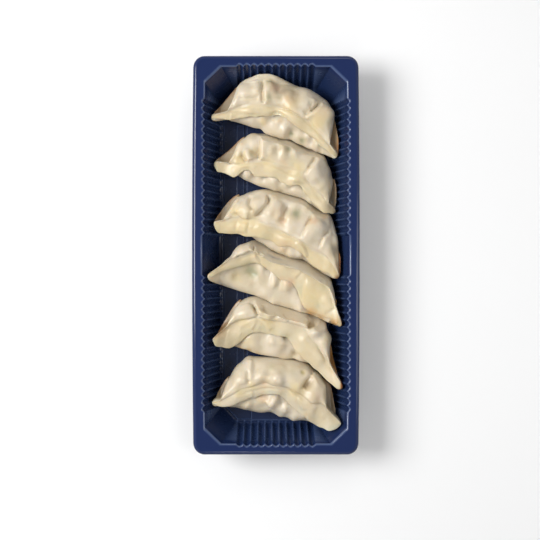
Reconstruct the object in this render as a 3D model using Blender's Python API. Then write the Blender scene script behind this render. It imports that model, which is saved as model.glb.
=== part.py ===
# Six pan-fried gyoza dumplings lying in their thermoformed plastic tray.
# Metres, +Z up. The origin is under the middle of the tray, on the surface it
# stands on. +Y runs along the tray, +X across it. Each dumpling lies across the
# tray with its pleated front towards +Y and its seam folded down towards -Y.

import math

import bpy
import numpy as np
from mathutils.geometry import delaunay_2d_cdt

MM = 0.001

# Driving sizes of the tray, in millimetres
TRAY_HEIGHT = 26.0
SHEET = 0.55
OUTER_HALF_WIDTH = 48.6
OUTER_HALF_LENGTH = 117.5
SIDE_BOW = 0.8
OUTER_CORNER = 6.7
LIP_DROP = 3.2
LIP_PROFILE = ((0.0, LIP_DROP), (0.0, 1.4), (0.6, 0.45), (2.0, 0.0))
UNDER_LIP_PROFILE = ((SHEET, LIP_DROP), (SHEET, 1.6), (SHEET + 0.5, SHEET + 0.45), (2.3, SHEET))
RIM_HALF_WIDTH = 41.8
RIM_HALF_LENGTH = 111.2
RIM_CHAMFER = (9.7, 9.3)
FLOOR_HALF_WIDTH = 34.1
FLOOR_HALF_LENGTH = 102.0
FLOOR_CHAMFER = (8.5, 8.8)
FLUTE_DEPTH_RIM = 1.6
FLUTE_DEPTH_FLOOR = 0.35
SIDE_FLUTES = 19
SIDE_FLUTE_PITCH = 4.2
SIDE_PANEL_HALF = 13.2
SIDE_PANEL_SHOULDER = 1.6
END_FLUTES = 11
END_FLUTE_PITCH = 4.3
FLUTE_COLUMNS = 3
RIB_HEIGHT = 0.6
RIB_SLOPE = 0.35
BAR_WIDTH = 5.0
BAR_CORNER = 2.4
BAR_PLACE = 22.0
BAR_SPANS = ((-78.0, -15.8), (-12.0, 12.0), (15.8, 78.0))
MID_PANEL = (18.2, 78.0)
MID_PANEL_CORNER = 3.0
END_PANEL = (15.4, 88.0, 101.0)
END_PANEL_CORNER = 1.0
TRAY_COLOUR = (0.012, 0.02, 0.07)

# Sizes that all six dumplings share, in millimetres
GAP = 0.3
WALL_GAP = 0.45
SEAT_HEIGHT = SHEET + RIB_HEIGHT + GAP
FIN_THICKNESS = 1.5
FIN_CLEARANCE = 0.8
FIN_DROOP = 0.336
SKIRT_THICKNESS = 2.4
BULGE_SHARE = 0.4
BACK_FOOT_INSET = 3.6
FRONT_FOOT_INSET = 3.0
PRESS_LEAN = 0.45
PRESS_HEIGHT = 9.0
PRESS_SOFTNESS = 0.35
STATIONS = 44
SPAN_STEPS = 1
BASE_STEPS = 3
DOUGH_COLOUR = (0.78, 0.68, 0.48)

# The six dumplings, from the top of the tray down. Lengths are millimetres and
# angles degrees. crest, fin and back are read at nine even places from the left
# tip to the right one: the seam's root in front of the line between the tips,
# the width of the folded seam, and how far the back wall stands in.
# A fold is (start, end, lip, side): from the seam down the front, the height of
# its overlapping lip, and 1 where the lip lies to the right of it.
# A lump is (along, across, size, height) over the filling. tips holds how high
# the seam stands at the left and the right tip.
DUMPLINGS = (
    dict(name="gyoza_1", place=(-0.8, 70.3), turn=-17.3, half=39.3, height=21.5,
         front=34.5, full=(4.0, 3.4), ends=(0.86, 0.97), tips=(18.5, 14.0),
         crest=(1.0, 6.5, 12.5, 16.2, 17.2, 16.5, 13.0, 7.0, 1.0),
         fin=(2.0, 3.5, 5.0, 5.0, 3.0, 6.0, 4.5, 3.0, 1.5),
         back=(0.5, 2.5, 2.5, 1.5, 1.0, 1.5, -0.5, -0.3, -1.0),
         folds=(((-14, 16), (-17, 31), 1.5, 1), ((-16, 20), (-29, 16), 0.8, -1),
                ((13, 15), (21, 28), 1.3, 1)),
         lumps=((-5, 25, 5, 0.9), (4, 25, 5, 0.7), (24, 18, 5, 0.8), (-24, 25, 5, 0.9),
                (-1, 8, 3, 1.0), (8, 6, 3.5, 1.0), (19, 6, 3.5, 1.2), (-10, 7, 3, 0.7))),
    dict(name="gyoza_2", place=(-0.8, 39.9), turn=-21.6, half=39.1, height=21.0,
         front=31.0, full=(4.0, 3.6), ends=(0.88, 0.95), tips=(15.5, 11.5),
         crest=(1.0, 3.8, 8.0, 11.4, 12.3, 12.2, 9.3, 3.5, 0.5),
         fin=(3.0, 8.0, 3.5, 5.5, 5.0, 6.0, 5.5, 7.0, 2.5),
         back=(-1.0, 0.0, -1.1, -2.0, -0.8, -0.2, 0.6, -1.9, -1.0),
         folds=(((-14, 10), (-18, 25), 1.5, 1), ((-21, 8), (-28, 15), 1.1, -1),
                ((14, 13), (19, 29), 1.4, 1)),
         lumps=((-5, 24, 4, 0.9), (3, 23, 4, 0.9), (-2, 18, 4, 0.7), (-24, 17, 4, 1.0),
                (-18, 3, 3, 0.8), (-3, 4, 4, 0.9), (6, 5, 4, 1.0), (17, 3, 3.5, 0.8))),
    dict(name="gyoza_3", place=(-0.4, 1.1), turn=-22.0, half=40.6, height=21.5,
         front=36.3, full=(5.0, 3.6), ends=(0.95, 0.97), tips=(18.5, 17.0),
         crest=(3.0, 9.0, 11.4, 12.6, 13.8, 13.0, 9.0, 7.0, 1.5),
         fin=(4.0, 8.0, 7.4, 6.6, 7.0, 4.0, 6.0, 6.5, 2.0),
         back=(1.0, 3.0, 4.3, 2.5, 0.6, 1.5, 2.0, 0.0, -1.0),
         folds=(((-17, 14), (-19, 31), 1.4, -1), ((-24, 16), (-28, 28), 0.9, -1),
                ((10, 14), (12, 30), 1.3, 1), ((23, 12), (26, 26), 1.0, -1)),
         lumps=((-30, 20, 5, 0.9), (-12, 25, 4, 0.9), (-1, 23, 4.5, 1.0), (14, 20, 5, 0.9),
                (-6, 6, 3, 0.8), (3, 5, 3, 0.9), (10, 4, 3, 0.8), (30, 12, 4, 0.6))),
    dict(name="gyoza_4", place=(-1.0, -27.5), turn=-20.3, half=42.4, height=22.0,
         front=31.5, full=(4.0, 3.2), ends=(0.84, 0.93), tips=(23.3, 20.5),
         crest=(1.0, 10.5, 22.0, 25.2, 26.2, 25.5, 21.0, 14.0, 1.0),
         fin=(1.5, 2.5, 5.0, 6.0, 8.5, 11.0, 15.0, 10.0, 2.5),
         back=(-1.5, -2.0, -1.5, -1.0, -1.2, -1.0, 0.0, -0.5, -0.5),
         folds=(((-19, 23), (-24, 29), 1.2, 1), ((10, 23), (14, 29), 1.0, 1)),
         lumps=((-28, 20, 4, 0.8), (2, 12, 3, 1.2), (-4, 12, 3, 0.9), (-8, 6, 4, 0.8),
                (-17, 12, 5, 0.7), (8, 12, 4, 0.9), (3, 4, 3.5, 0.9), (12, 5, 3.5, 0.8))),
    dict(name="gyoza_5", place=(0.3, -65.5), turn=-20.7, half=41.2, height=21.5,
         front=35.5, full=(6.0, 2.6), ends=(0.92, 0.92), tips=(19.0, 20.5),
         crest=(2.0, 15.5, 21.8, 24.8, 25.0, 23.0, 20.0, 11.5, 1.5),
         fin=(5.0, 14.0, 8.0, 8.5, 6.0, 9.5, 11.5, 6.5, 2.0),
         back=(0.0, 0.8, 1.3, 2.0, 4.2, 6.7, 7.0, 3.0, -1.0),
         folds=(((-20, 22), (-26, 31), 1.5, -1), ((-17, 25), (-20, 33), 0.9, -1),
                ((-2, 26), (-8, 34), 1.0, -1), ((9, 23), (11, 33), 1.5, 1)),
         lumps=((-29, 22, 5, 1.0), (-12, 30, 4, 0.8), (14, 27, 4, 1.0), (4, 30, 4, 0.6),
                (-20, 8, 4, 0.8), (-13, 12, 4, 0.9), (-5, 12, 4, 1.0), (5, 12, 3.5, 0.8))),
    dict(name="gyoza_6", place=(-0.3, -96.2), turn=-12.0, half=38.8, height=21.5,
         front=34.5, full=(4.0, 4.0), ends=(0.87, 0.84), tips=(19.0, 20.5),
         crest=(1.0, 5.5, 14.0, 17.6, 18.2, 17.0, 11.5, 8.5, 5.0),
         fin=(1.5, 5.5, 7.5, 4.5, 5.0, 8.5, 8.0, 8.0, 3.0),
         back=(-0.5, -0.8, -0.2, -0.6, 0.5, 0.3, 0.8, 0.5, 2.0),
         folds=(((-20, 15), (-22, 30), 1.4, 1), ((12, 18), (17, 30), 1.6, 1)),
         lumps=((-28, 16, 6, 1.0), (-8, 24, 5, 0.8), (-1, 22, 4, 0.8), (21, 18, 5, 0.9),
                (-9, 7, 3.5, 0.9), (-2, 11, 3.5, 1.1), (6, 6, 4, 1.1), (17, 5, 4, 0.8))),
)


def clear_scene():
    """Remove what the default scene holds."""
    for old in list(bpy.data.objects):
        bpy.data.objects.remove(old, do_unlink=True)


def make_material(name, colour, roughness):
    """A plain Principled material."""
    material = bpy.data.materials.new(name)
    material.use_nodes = True
    shader = material.node_tree.nodes["Principled BSDF"]
    shader.inputs["Base Color"].default_value = (*colour, 1.0)
    shader.inputs["Roughness"].default_value = roughness
    shader.inputs["Metallic"].default_value = 0.0
    return material


def add_object(name, points, faces, material):
    """Make a mesh object from points in millimetres."""
    mesh = bpy.data.meshes.new(name)
    mesh.from_pydata([tuple(c * MM for c in p) for p in points], [], faces)
    mesh.validate()
    mesh.materials.append(material)
    obj = bpy.data.objects.new(name, mesh)
    bpy.context.collection.objects.link(obj)
    return obj


def flute_stops(count, pitch, start):
    """Places along a wall and how far each stands out, 0 to 1, for a run of round flutes."""
    stops = []
    for flute in range(count):
        for column in range(FLUTE_COLUMNS):
            share = column / FLUTE_COLUMNS
            stops.append((start + (flute + share) * pitch, math.sin(math.pi * share)))
    return stops


def side_stops():
    """Stops along a long wall: flutes, the plain middle panel, flutes."""
    run = SIDE_FLUTES * SIDE_FLUTE_PITCH
    lower = flute_stops(SIDE_FLUTES, SIDE_FLUTE_PITCH, -SIDE_PANEL_HALF - run)
    panel = SIDE_PANEL_HALF - SIDE_PANEL_SHOULDER
    middle = [(-SIDE_PANEL_HALF, 0.0), (-panel, 1.0), (panel, 1.0)]
    upper = flute_stops(SIDE_FLUTES, SIDE_FLUTE_PITCH, SIDE_PANEL_HALF)
    return lower + middle + upper + [(SIDE_PANEL_HALF + run, 0.0)]


def end_stops():
    """Stops along a short wall: one run of flutes."""
    half_run = END_FLUTES * END_FLUTE_PITCH / 2
    return flute_stops(END_FLUTES, END_FLUTE_PITCH, -half_run) + [(half_run, 0.0)]


def wall_ring(half_width, half_length, chamfer, flute_depth, z):
    """The eight-sided outline of the wall at one height, with its flutes, counterclockwise."""
    cut_x, cut_y = chamfer
    long_end = half_length - cut_y
    short_end = half_width - cut_x
    side = [(-long_end, 0.0)] + side_stops() + [(long_end, 0.0)]
    end = [(-short_end, 0.0)] + end_stops() + [(short_end, 0.0)]
    ring = [(half_width + out * flute_depth, y, z) for y, out in side]
    ring += [(-x, half_length + out * flute_depth, z) for x, out in end]
    ring += [(-half_width - out * flute_depth, -y, z) for y, out in side]
    ring += [(x, -half_length - out * flute_depth, z) for x, out in end]
    return ring


def lip_ring(inset, z, corner_steps=6, side_steps=8):
    """The rounded outline of the lip, its long sides bowed out a little, counterclockwise."""
    half_width = OUTER_HALF_WIDTH - inset
    half_length = OUTER_HALF_LENGTH - inset
    radius = OUTER_CORNER - inset
    ring = []
    for quarter, (sx, sy) in enumerate(((1, 1), (-1, 1), (-1, -1), (1, -1))):
        for step in range(corner_steps + 1):
            angle = math.radians(90 * (quarter + step / corner_steps))
            x = sx * (half_width - radius) + radius * math.cos(angle)
            y = sy * (half_length - radius) + radius * math.sin(angle)
            ring.append((x, y, z))
        if quarter in (0, 2):
            continue
        for step in range(1, side_steps):
            y = sy * (half_length - radius) * (1 - 2 * step / side_steps)
            bow = SIDE_BOW * (1 - (y / (half_length - radius)) ** 2)
            ring.append((sx * (half_width + bow), y, z))
    return ring


def rib_outline(x0, x1, y0, y1, radius, z, steps=3):
    """A bar's outline with rounded corners, counterclockwise."""
    ring = []
    for quarter, (x, y) in enumerate(((x1, y1), (x0, y1), (x0, y0), (x1, y0))):
        cx = x - radius if x == x1 else x + radius
        cy = y - radius if y == y1 else y + radius
        for step in range(steps + 1):
            angle = math.radians(90 * (quarter + step / steps))
            ring.append((cx + radius * math.cos(angle), cy + radius * math.sin(angle), z))
    return ring


def rib_boxes():
    """Every raised bar and panel of the tray's floor: its box and corner radius."""
    boxes = []
    for side in (-1, 1):
        for y0, y1 in BAR_SPANS:
            middle = side * BAR_PLACE
            boxes.append((middle - BAR_WIDTH / 2, middle + BAR_WIDTH / 2, y0, y1, BAR_CORNER))
    boxes.append((-MID_PANEL[0], MID_PANEL[0], -MID_PANEL[1], MID_PANEL[1], MID_PANEL_CORNER))
    for side in (-1, 1):
        ends = sorted((side * END_PANEL[1], side * END_PANEL[2]))
        boxes.append((-END_PANEL[0], END_PANEL[0], ends[0], ends[1], END_PANEL_CORNER))
    return boxes


class Shell:
    """Gathers rings of points and the faces between them."""

    def __init__(self):
        self.points = []
        self.faces = []

    def ring(self, points):
        start = len(self.points)
        self.points.extend(points)
        return list(range(start, start + len(points)))

    def strip(self, lower, upper):
        count = len(lower)
        for i in range(count):
            j = (i + 1) % count
            self.faces.append((lower[i], lower[j], upper[j], upper[i]))


def fill_rings(shell, outer, holes):
    """Fill a flat area between one outline and the outlines inside it."""
    loops = [outer] + holes
    flat = []
    edges = []
    index = []
    for loop in loops:
        start = len(flat)
        flat.extend((shell.points[i][0], shell.points[i][1]) for i in loop)
        index.extend(loop)
        edges.extend((start + i, start + (i + 1) % len(loop)) for i in range(len(loop)))
    new_points, _, triangles, originals = delaunay_2d_cdt(flat, edges, [], 0, 1e-7)[:4]
    for triangle in triangles:
        x = sum(new_points[i][0] for i in triangle) / 3
        y = sum(new_points[i][1] for i in triangle) / 3
        inside_outer = inside(x, y, [shell.points[i] for i in outer])
        inside_hole = any(inside(x, y, [shell.points[i] for i in hole]) for hole in holes)
        if inside_outer and not inside_hole:
            shell.faces.append(tuple(index[originals[i][0]] for i in triangle))


def inside(x, y, loop):
    """Whether a point lies inside a closed outline."""
    odd = False
    for i, (x0, y0, _) in enumerate(loop):
        x1, y1, _ = loop[i - 1]
        if (y0 > y) != (y1 > y) and x < (x1 - x0) * (y - y0) / (y1 - y0) + x0:
            odd = not odd
    return odd


def build_tray(material):
    """The tray as one closed sheet: lip, flange, fluted walls, ribbed floor and underside."""
    shell = Shell()
    rim = (RIM_HALF_WIDTH, RIM_HALF_LENGTH, RIM_CHAMFER)
    floor = (FLOOR_HALF_WIDTH, FLOOR_HALF_LENGTH, FLOOR_CHAMFER)
    # Upper face, from the lip's lower edge inwards
    upper = [shell.ring(lip_ring(inset, TRAY_HEIGHT - drop)) for inset, drop in LIP_PROFILE]
    for low, high in zip(upper, upper[1:]):
        shell.strip(low, high)
    rim_top = shell.ring(wall_ring(*rim, FLUTE_DEPTH_RIM, TRAY_HEIGHT))
    fill_rings(shell, upper[-1], [rim_top])
    floor_top = shell.ring(wall_ring(*floor, FLUTE_DEPTH_FLOOR, SHEET))
    shell.strip(rim_top, floor_top)
    rib_feet = []
    for x0, x1, y0, y1, radius in rib_boxes():
        foot = shell.ring(rib_outline(x0, x1, y0, y1, radius, SHEET))
        head = shell.ring(rib_outline(x0 + RIB_SLOPE, x1 - RIB_SLOPE, y0 + RIB_SLOPE,
                                      y1 - RIB_SLOPE, radius - RIB_SLOPE, SHEET + RIB_HEIGHT))
        shell.strip(foot, head)
        fill_rings(shell, head, [])
        rib_feet.append(foot)
    fill_rings(shell, floor_top, rib_feet)
    # Lower face, from the lip's lower edge inwards
    lower = [shell.ring(lip_ring(inset, TRAY_HEIGHT - drop)) for inset, drop in UNDER_LIP_PROFILE]
    for high, low in zip(lower, lower[1:]):
        shell.strip(low, high)
    shell.strip(lower[0], upper[0])
    rim_out = (RIM_HALF_WIDTH + SHEET, RIM_HALF_LENGTH + SHEET, RIM_CHAMFER)
    floor_out = (FLOOR_HALF_WIDTH + SHEET, FLOOR_HALF_LENGTH + SHEET, FLOOR_CHAMFER)
    wall_top = shell.ring(wall_ring(*rim_out, FLUTE_DEPTH_RIM, TRAY_HEIGHT - SHEET))
    count = len(shell.faces)
    fill_rings(shell, lower[-1], [wall_top])
    flip_faces(shell, count)
    wall_foot = shell.ring(wall_ring(*floor_out, FLUTE_DEPTH_FLOOR, 0.0))
    shell.strip(wall_foot, wall_top)
    count = len(shell.faces)
    fill_rings(shell, wall_foot, [])
    flip_faces(shell, count)
    return add_object("tray", shell.points, shell.faces, material)


def flip_faces(shell, start):
    """Turn over the faces added since a given one."""
    shell.faces[start:] = [tuple(reversed(face)) for face in shell.faces[start:]]


def smooth_step(value, low, high):
    """0 below low, 1 above high, smooth between."""
    share = np.clip((value - low) / (high - low), 0.0, 1.0)
    return share * share * (3 - 2 * share)


def read_nine(values, x):
    """A smooth curve through nine values at even places from -1 to 1."""
    values = np.asarray(values, dtype=float)
    place = np.clip((np.asarray(x) + 1) * 4, 0, 7.999999)
    left = place.astype(int)
    share = place - left
    padded = np.concatenate(([values[0]], values, [values[-1]]))
    before = padded[left]
    start = padded[left + 1]
    end = padded[left + 2]
    after = padded[np.minimum(left + 3, 10)]
    return 0.5 * (2 * start + (end - before) * share
                  + (2 * before - 5 * start + 4 * end - after) * share ** 2
                  + (3 * start - before - 3 * end + after) * share ** 3)


def crest_line(spec, x):
    """How high the seam stands along the dumpling."""
    tip = np.where(x < 0, spec["tips"][0], spec["tips"][1])
    return tip + (spec["height"] - tip) * (1 - np.abs(x) ** 2.6) ** 0.8


def section_controls(spec, x):
    """The control points of the dough's outline at each station, from front foot to back foot."""
    front_depth = spec["front"]
    side = np.abs(x)
    left = x < 0
    body_end = np.where(left, spec["ends"][0], spec["ends"][1])
    fullness = np.where(left, spec["full"][0], spec["full"][1])
    crest_height = crest_line(spec, x)
    crest = read_nine(spec["crest"], x)
    outer = np.clip(1 - side ** 14, 0, 1) ** 0.5
    fin = read_nine(spec["fin"], x) * outer + 1.2
    body = front_depth * np.clip(1 - (side / body_end) ** fullness, 0, 1) ** 0.6
    body = np.maximum(body, crest + 2.2)
    skirt = front_depth * np.clip(1 - side ** 2.3, 0, 1) ** 0.7 + 1.0
    skirt = np.maximum(skirt, crest + 2.0)
    back = np.minimum(read_nine(spec["back"], x), crest - 3.0)
    flare = smooth_step(skirt - body, -1.5, 1.5)
    front_foot = body - FRONT_FOOT_INSET * (1 - side ** 4)
    front_foot = np.maximum(front_foot * (1 - flare) + skirt * flare, crest + 1.2)
    bulge = BULGE_SHARE * crest_height
    droop = FIN_DROOP * fin * (1 - side ** 6)
    root = np.maximum(crest_height - droop - FIN_THICKNESS - FIN_CLEARANCE, 0.45 * crest_height)
    droop = np.minimum(droop, crest_height - root - FIN_THICKNESS - 0.5 * FIN_CLEARANCE)
    droop = np.maximum(droop, 0.1)
    width = body - crest
    depth = crest - 1.0 - back
    foot = np.minimum(back + 0.4 + BACK_FOOT_INSET * (1 - side ** 6), crest - 1.4)
    neck = body * (1 - flare) + (body * 0.7 + skirt * 0.3) * flare
    full = 1 - flare
    controls = [
        (front_foot, 0.0),
        (front_foot * (1 - 0.45 * full) + body * 0.45 * full,
         SKIRT_THICKNESS * 0.9 + bulge * 0.1 * full),
        (neck, SKIRT_THICKNESS * (0.45 + 0.55 * flare) + bulge * 0.55 * full),
        (body, bulge),
        (crest + 0.93 * width, bulge + 0.38 * (crest_height - bulge)),
        (crest + 0.76 * width, bulge + 0.68 * (crest_height - bulge)),
        (crest + 0.45 * width, bulge + 0.90 * (crest_height - bulge)),
        (crest + 0.5, crest_height),
        (crest - 0.5 * fin, crest_height - 0.35 * droop),
        (crest - fin, crest_height - droop),
        (crest - fin + 0.25, crest_height - droop - FIN_THICKNESS),
        (crest - 0.5 * fin - 0.2, crest_height - 0.35 * droop - FIN_THICKNESS),
        (crest - 1.0, root),
        (crest - 1.0 - 0.5 * depth, bulge + 0.90 * (root - bulge)),
        (crest - 1.0 - 0.84 * depth, bulge + 0.58 * (root - bulge)),
        (back, bulge),
        (back + 0.35 * (foot - back), 0.45 * bulge),
        (foot, 0.0),
    ]
    return [np.stack(np.broadcast_arrays(v, w), axis=-1) for v, w in controls]


def section_columns(spec, x):
    """Columns of points round the section, closed under the base."""
    controls = section_controls(spec, x)
    columns = []
    for span in range(len(controls) - 1):
        before = controls[max(span - 1, 0)]
        start, end = controls[span], controls[span + 1]
        after = controls[min(span + 2, len(controls) - 1)]
        for step in range(SPAN_STEPS):
            t = step / SPAN_STEPS
            columns.append(0.5 * (2 * start + (end - before) * t
                                  + (2 * before - 5 * start + 4 * end - after) * t ** 2
                                  + (3 * start - before - 3 * end + after) * t ** 3))
    columns.append(controls[-1])
    for step in range(1, BASE_STEPS + 1):
        t = step / (BASE_STEPS + 1)
        columns.append(controls[-1] * (1 - t) + controls[0] * t)
    return np.stack(columns, axis=1)


def relief(spec, along, across):
    """Height of the folds and lumps over the smooth dough, in millimetres."""
    total = np.zeros_like(along)
    for (x0, y0), (x1, y1), lip, side in spec["folds"]:
        dx, dy = x1 - x0, y1 - y0
        length = math.hypot(dx, dy)
        run = ((along - x0) * dx + (across - y0) * dy) / length
        off = side * ((along - x0) * dy - (across - y0) * dx) / length
        reach = smooth_step(run, -1.5, 2.5) * (1 - smooth_step(run, length - 1.0, length + 6.0))
        ridge = lip * smooth_step(off, -0.5, 0.6) * np.exp(-np.maximum(off - 1.2, 0.0) / 3.0)
        groove = 0.7 * lip * np.exp(-((off + 0.7) / 1.3) ** 2)
        total += reach * (ridge - groove)
    for x, y, size, height in spec["lumps"]:
        total += height * np.exp(-((along - x) ** 2 + (across - y) ** 2) / size ** 2)
    return total


def surface_normals(points):
    """Unit normals of a grid of points, pointing out of the dough."""
    along = np.gradient(points, axis=0)
    round_way = np.roll(points, -1, axis=1) - np.roll(points, 1, axis=1)
    normal = np.cross(round_way, along)
    length = np.linalg.norm(normal, axis=2, keepdims=True)
    return normal / np.maximum(length, 1e-9)


def to_world(spec, points):
    """Local points (along, across, up) placed in the tray."""
    angle = math.radians(spec["turn"])
    c, s = math.cos(angle), math.sin(angle)
    x = spec["place"][0] + points[..., 0] * c - points[..., 1] * s
    y = spec["place"][1] + points[..., 0] * s + points[..., 1] * c
    return np.stack((x, y, points[..., 2]), axis=-1)


def to_local(spec, points):
    """World points in one dumpling's own axes."""
    angle = math.radians(spec["turn"])
    c, s = math.cos(angle), math.sin(angle)
    dx = points[..., 0] - spec["place"][0]
    dy = points[..., 1] - spec["place"][1]
    return np.stack((dx * c + dy * s, -dx * s + dy * c, points[..., 2]), axis=-1)


def press_limit(spec, local):
    """Where the face between a dumpling's back and the next one's front lies."""
    x = np.clip(local[..., 0] / spec["half"], -1, 1)
    return read_nine(spec["back"], x) - PRESS_LEAN * (local[..., 2] - PRESS_HEIGHT)


def soft_cap(value, limit):
    """A value kept under its limit, with a soft turn as it nears it."""
    over = np.clip((value - limit) / PRESS_SOFTNESS, -40, 40)
    return value - PRESS_SOFTNESS * np.log1p(np.exp(over))


def press_neighbours(index, world):
    """Flatten a dumpling where it touches the ones beside it."""
    spec = DUMPLINGS[index]
    if index + 1 < len(DUMPLINGS):
        local = to_local(spec, world)
        limit = press_limit(spec, local) + 0.5 * GAP
        local[..., 1] = -soft_cap(-local[..., 1], -limit)
        world = to_world(spec, local)
    if index > 0:
        above = DUMPLINGS[index - 1]
        local = to_local(above, world)
        limit = press_limit(above, local) - 0.5 * GAP
        local[..., 1] = soft_cap(local[..., 1], limit)
        world = to_world(above, local)
    return world


def wall_planes():
    """The tray's sloping walls: outward direction, reach at the floor, rise per millimetre."""
    rise = TRAY_HEIGHT - SHEET
    length = math.hypot(*FLOOR_CHAMFER)
    nx, ny = FLOOR_CHAMFER[1] / length, FLOOR_CHAMFER[0] / length
    corner_floor = nx * FLOOR_HALF_WIDTH + ny * (FLOOR_HALF_LENGTH - FLOOR_CHAMFER[1])
    corner_rim = min(nx * RIM_HALF_WIDTH + ny * (RIM_HALF_LENGTH - RIM_CHAMFER[1]),
                     nx * (RIM_HALF_WIDTH - RIM_CHAMFER[0]) + ny * RIM_HALF_LENGTH)
    return (
        (1.0, 0.0, FLOOR_HALF_WIDTH, rise / (RIM_HALF_WIDTH - FLOOR_HALF_WIDTH)),
        (0.0, 1.0, FLOOR_HALF_LENGTH, rise / (RIM_HALF_LENGTH - FLOOR_HALF_LENGTH)),
        (nx, ny, corner_floor, rise / (corner_rim - corner_floor)),
    )


def wall_lift(world):
    """How high the tray's walls stand over the seat at each point, with their gap."""
    highest = np.zeros(world.shape[:-1])
    for nx, ny, reach, slope in wall_planes():
        beyond = np.abs(world[..., 0]) * nx + np.abs(world[..., 1]) * ny + WALL_GAP - reach
        highest = np.maximum(highest, beyond * slope - (SEAT_HEIGHT - SHEET))
    return highest


def press_walls(world):
    """Keep a dumpling inside the tray's walls."""
    above_floor = world[..., 2] + SEAT_HEIGHT - SHEET
    for nx, ny, reach, slope in wall_planes():
        out = np.abs(world[..., 0]) * nx + np.abs(world[..., 1]) * ny
        over = np.maximum(out + WALL_GAP - reach - above_floor / slope, 0.0)
        world[..., 0] -= np.sign(world[..., 0]) * nx * over
        world[..., 1] -= np.sign(world[..., 1]) * ny * over
    return world


def dumpling_points(index):
    """The grid of one dumpling's points: stations along it by columns round it."""
    spec = DUMPLINGS[index]
    even = np.linspace(-1, 1, STATIONS)
    x = 0.55 * even + 0.45 * np.sin(even * math.pi / 2)
    columns = section_columns(spec, x)
    along = np.broadcast_to((x * spec["half"])[:, None], columns.shape[:2])
    local = np.stack((along, columns[..., 0], columns[..., 1]), axis=-1)
    crest_height = crest_line(spec, x)[:, None]
    lift = np.minimum(wall_lift(to_world(spec, local)), crest_height - 2.5)
    local[..., 2] = lift + local[..., 2] * (crest_height - lift) / crest_height
    normals = surface_normals(local)
    facing_up = smooth_step(normals[..., 2], -0.1, 0.5)
    column = np.arange(columns.shape[1]) / SPAN_STEPS
    on_front = smooth_step(column, 2.5, 4.0) * (1 - smooth_step(column, 6.5, 7.5))
    on_back = smooth_step(column, 12.2, 13.0) * (1 - smooth_step(column, 15.0, 16.5))
    inner = 1 - smooth_step(np.abs(x), 0.8, 0.92)
    weight = (on_front + on_back)[None, :] * inner[:, None] * facing_up
    local = local + normals * (weight * relief(spec, local[..., 0], local[..., 1]))[..., None]
    world = press_walls(press_neighbours(index, to_world(spec, local)))
    world[..., 2] += SEAT_HEIGHT
    return world


def build_dumpling(index, material):
    """One dumpling: the dough round its filling as a single closed solid."""
    points = dumpling_points(index)
    rows, columns = points.shape[:2]
    flat = [tuple(float(c) for c in p) for p in points.reshape(-1, 3)]
    faces = []
    for i in range(rows - 1):
        for j in range(columns):
            k = (j + 1) % columns
            row, after = i * columns, (i + 1) * columns
            faces.append((row + j, row + k, after + k, after + j))
    faces.append(tuple(reversed(range(columns))))
    faces.append(tuple((rows - 1) * columns + j for j in range(columns)))
    return add_object(DUMPLINGS[index]["name"], flat, faces, material)


def main():
    clear_scene()
    plastic = make_material("tray_plastic", TRAY_COLOUR, 0.3)
    dough = make_material("dough", DOUGH_COLOUR, 0.45)
    build_tray(plastic)
    for index in range(len(DUMPLINGS)):
        build_dumpling(index, dough)


main()
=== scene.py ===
import math

import bmesh
import bpy
import numpy as np
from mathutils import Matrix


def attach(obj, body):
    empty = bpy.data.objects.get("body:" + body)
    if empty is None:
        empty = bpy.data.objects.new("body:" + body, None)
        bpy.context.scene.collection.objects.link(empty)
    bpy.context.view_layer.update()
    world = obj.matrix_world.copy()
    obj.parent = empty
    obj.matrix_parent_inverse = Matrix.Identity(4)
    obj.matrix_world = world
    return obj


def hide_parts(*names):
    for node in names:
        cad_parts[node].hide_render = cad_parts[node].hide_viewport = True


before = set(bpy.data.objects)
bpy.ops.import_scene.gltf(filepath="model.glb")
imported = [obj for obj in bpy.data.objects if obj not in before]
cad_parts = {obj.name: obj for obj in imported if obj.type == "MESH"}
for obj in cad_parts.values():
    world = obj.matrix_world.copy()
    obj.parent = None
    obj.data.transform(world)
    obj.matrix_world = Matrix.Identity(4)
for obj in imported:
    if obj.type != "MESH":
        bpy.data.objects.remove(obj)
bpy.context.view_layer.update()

# The table and the room. A white table top, lit by one big soft lamp at the left, four weak ones
# round the other sides and pale walls. The camera looks straight down from half a metre over the
# rim, a little to the left of the tray's middle and towards its near end.
MM = 0.001
CAMERA_PLACE = (-3.48, -8.73)
CAMERA_HEIGHT = 500.0
CAMERA_FRAME = 36.0
RIM_HEIGHT = 26.0
VIEW_WIDTH = 318.6
WALL_LIGHT = 0.52
CEILING_SHADE = 0.30
TABLE_WIDTH = 6.0
TABLE_COLOUR = (0.84, 0.84, 0.84)
TABLE_PALE = (0.86, 0.86, 0.86)


def add_lamp(name, place, size, power):
    """A square soft lamp that faces the middle of the tray; millimetres and watts."""
    bpy.ops.object.light_add(type="AREA", location=[c * MM for c in place])
    lamp = bpy.context.object
    lamp.name = name
    lamp.data.size = size * MM
    lamp.data.energy = power
    lamp.rotation_euler = (-lamp.location).to_track_quat("-Z", "Y").to_euler()


add_lamp("window_lamp", (-600, 115, 600), 430, 7.6)
add_lamp("fill_lamp", (620, -60, 480), 300, 0.9)
add_lamp("back_lamp", (120, 640, 620), 200, 0.5)
add_lamp("right_ceiling_lamp", (470, -60, 1000), 150, 0.6)
add_lamp("near_ceiling_lamp", (-60, -800, 1000), 150, 0.8)

world = bpy.data.worlds.new("pale_room")
world.use_nodes = True
backdrop = world.node_tree.nodes["Background"]
backdrop.inputs["Color"].default_value = (1.0, 1.0, 1.0, 1.0)
bpy.context.scene.world = world
bpy.context.scene.view_settings.view_transform = "Standard"

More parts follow.
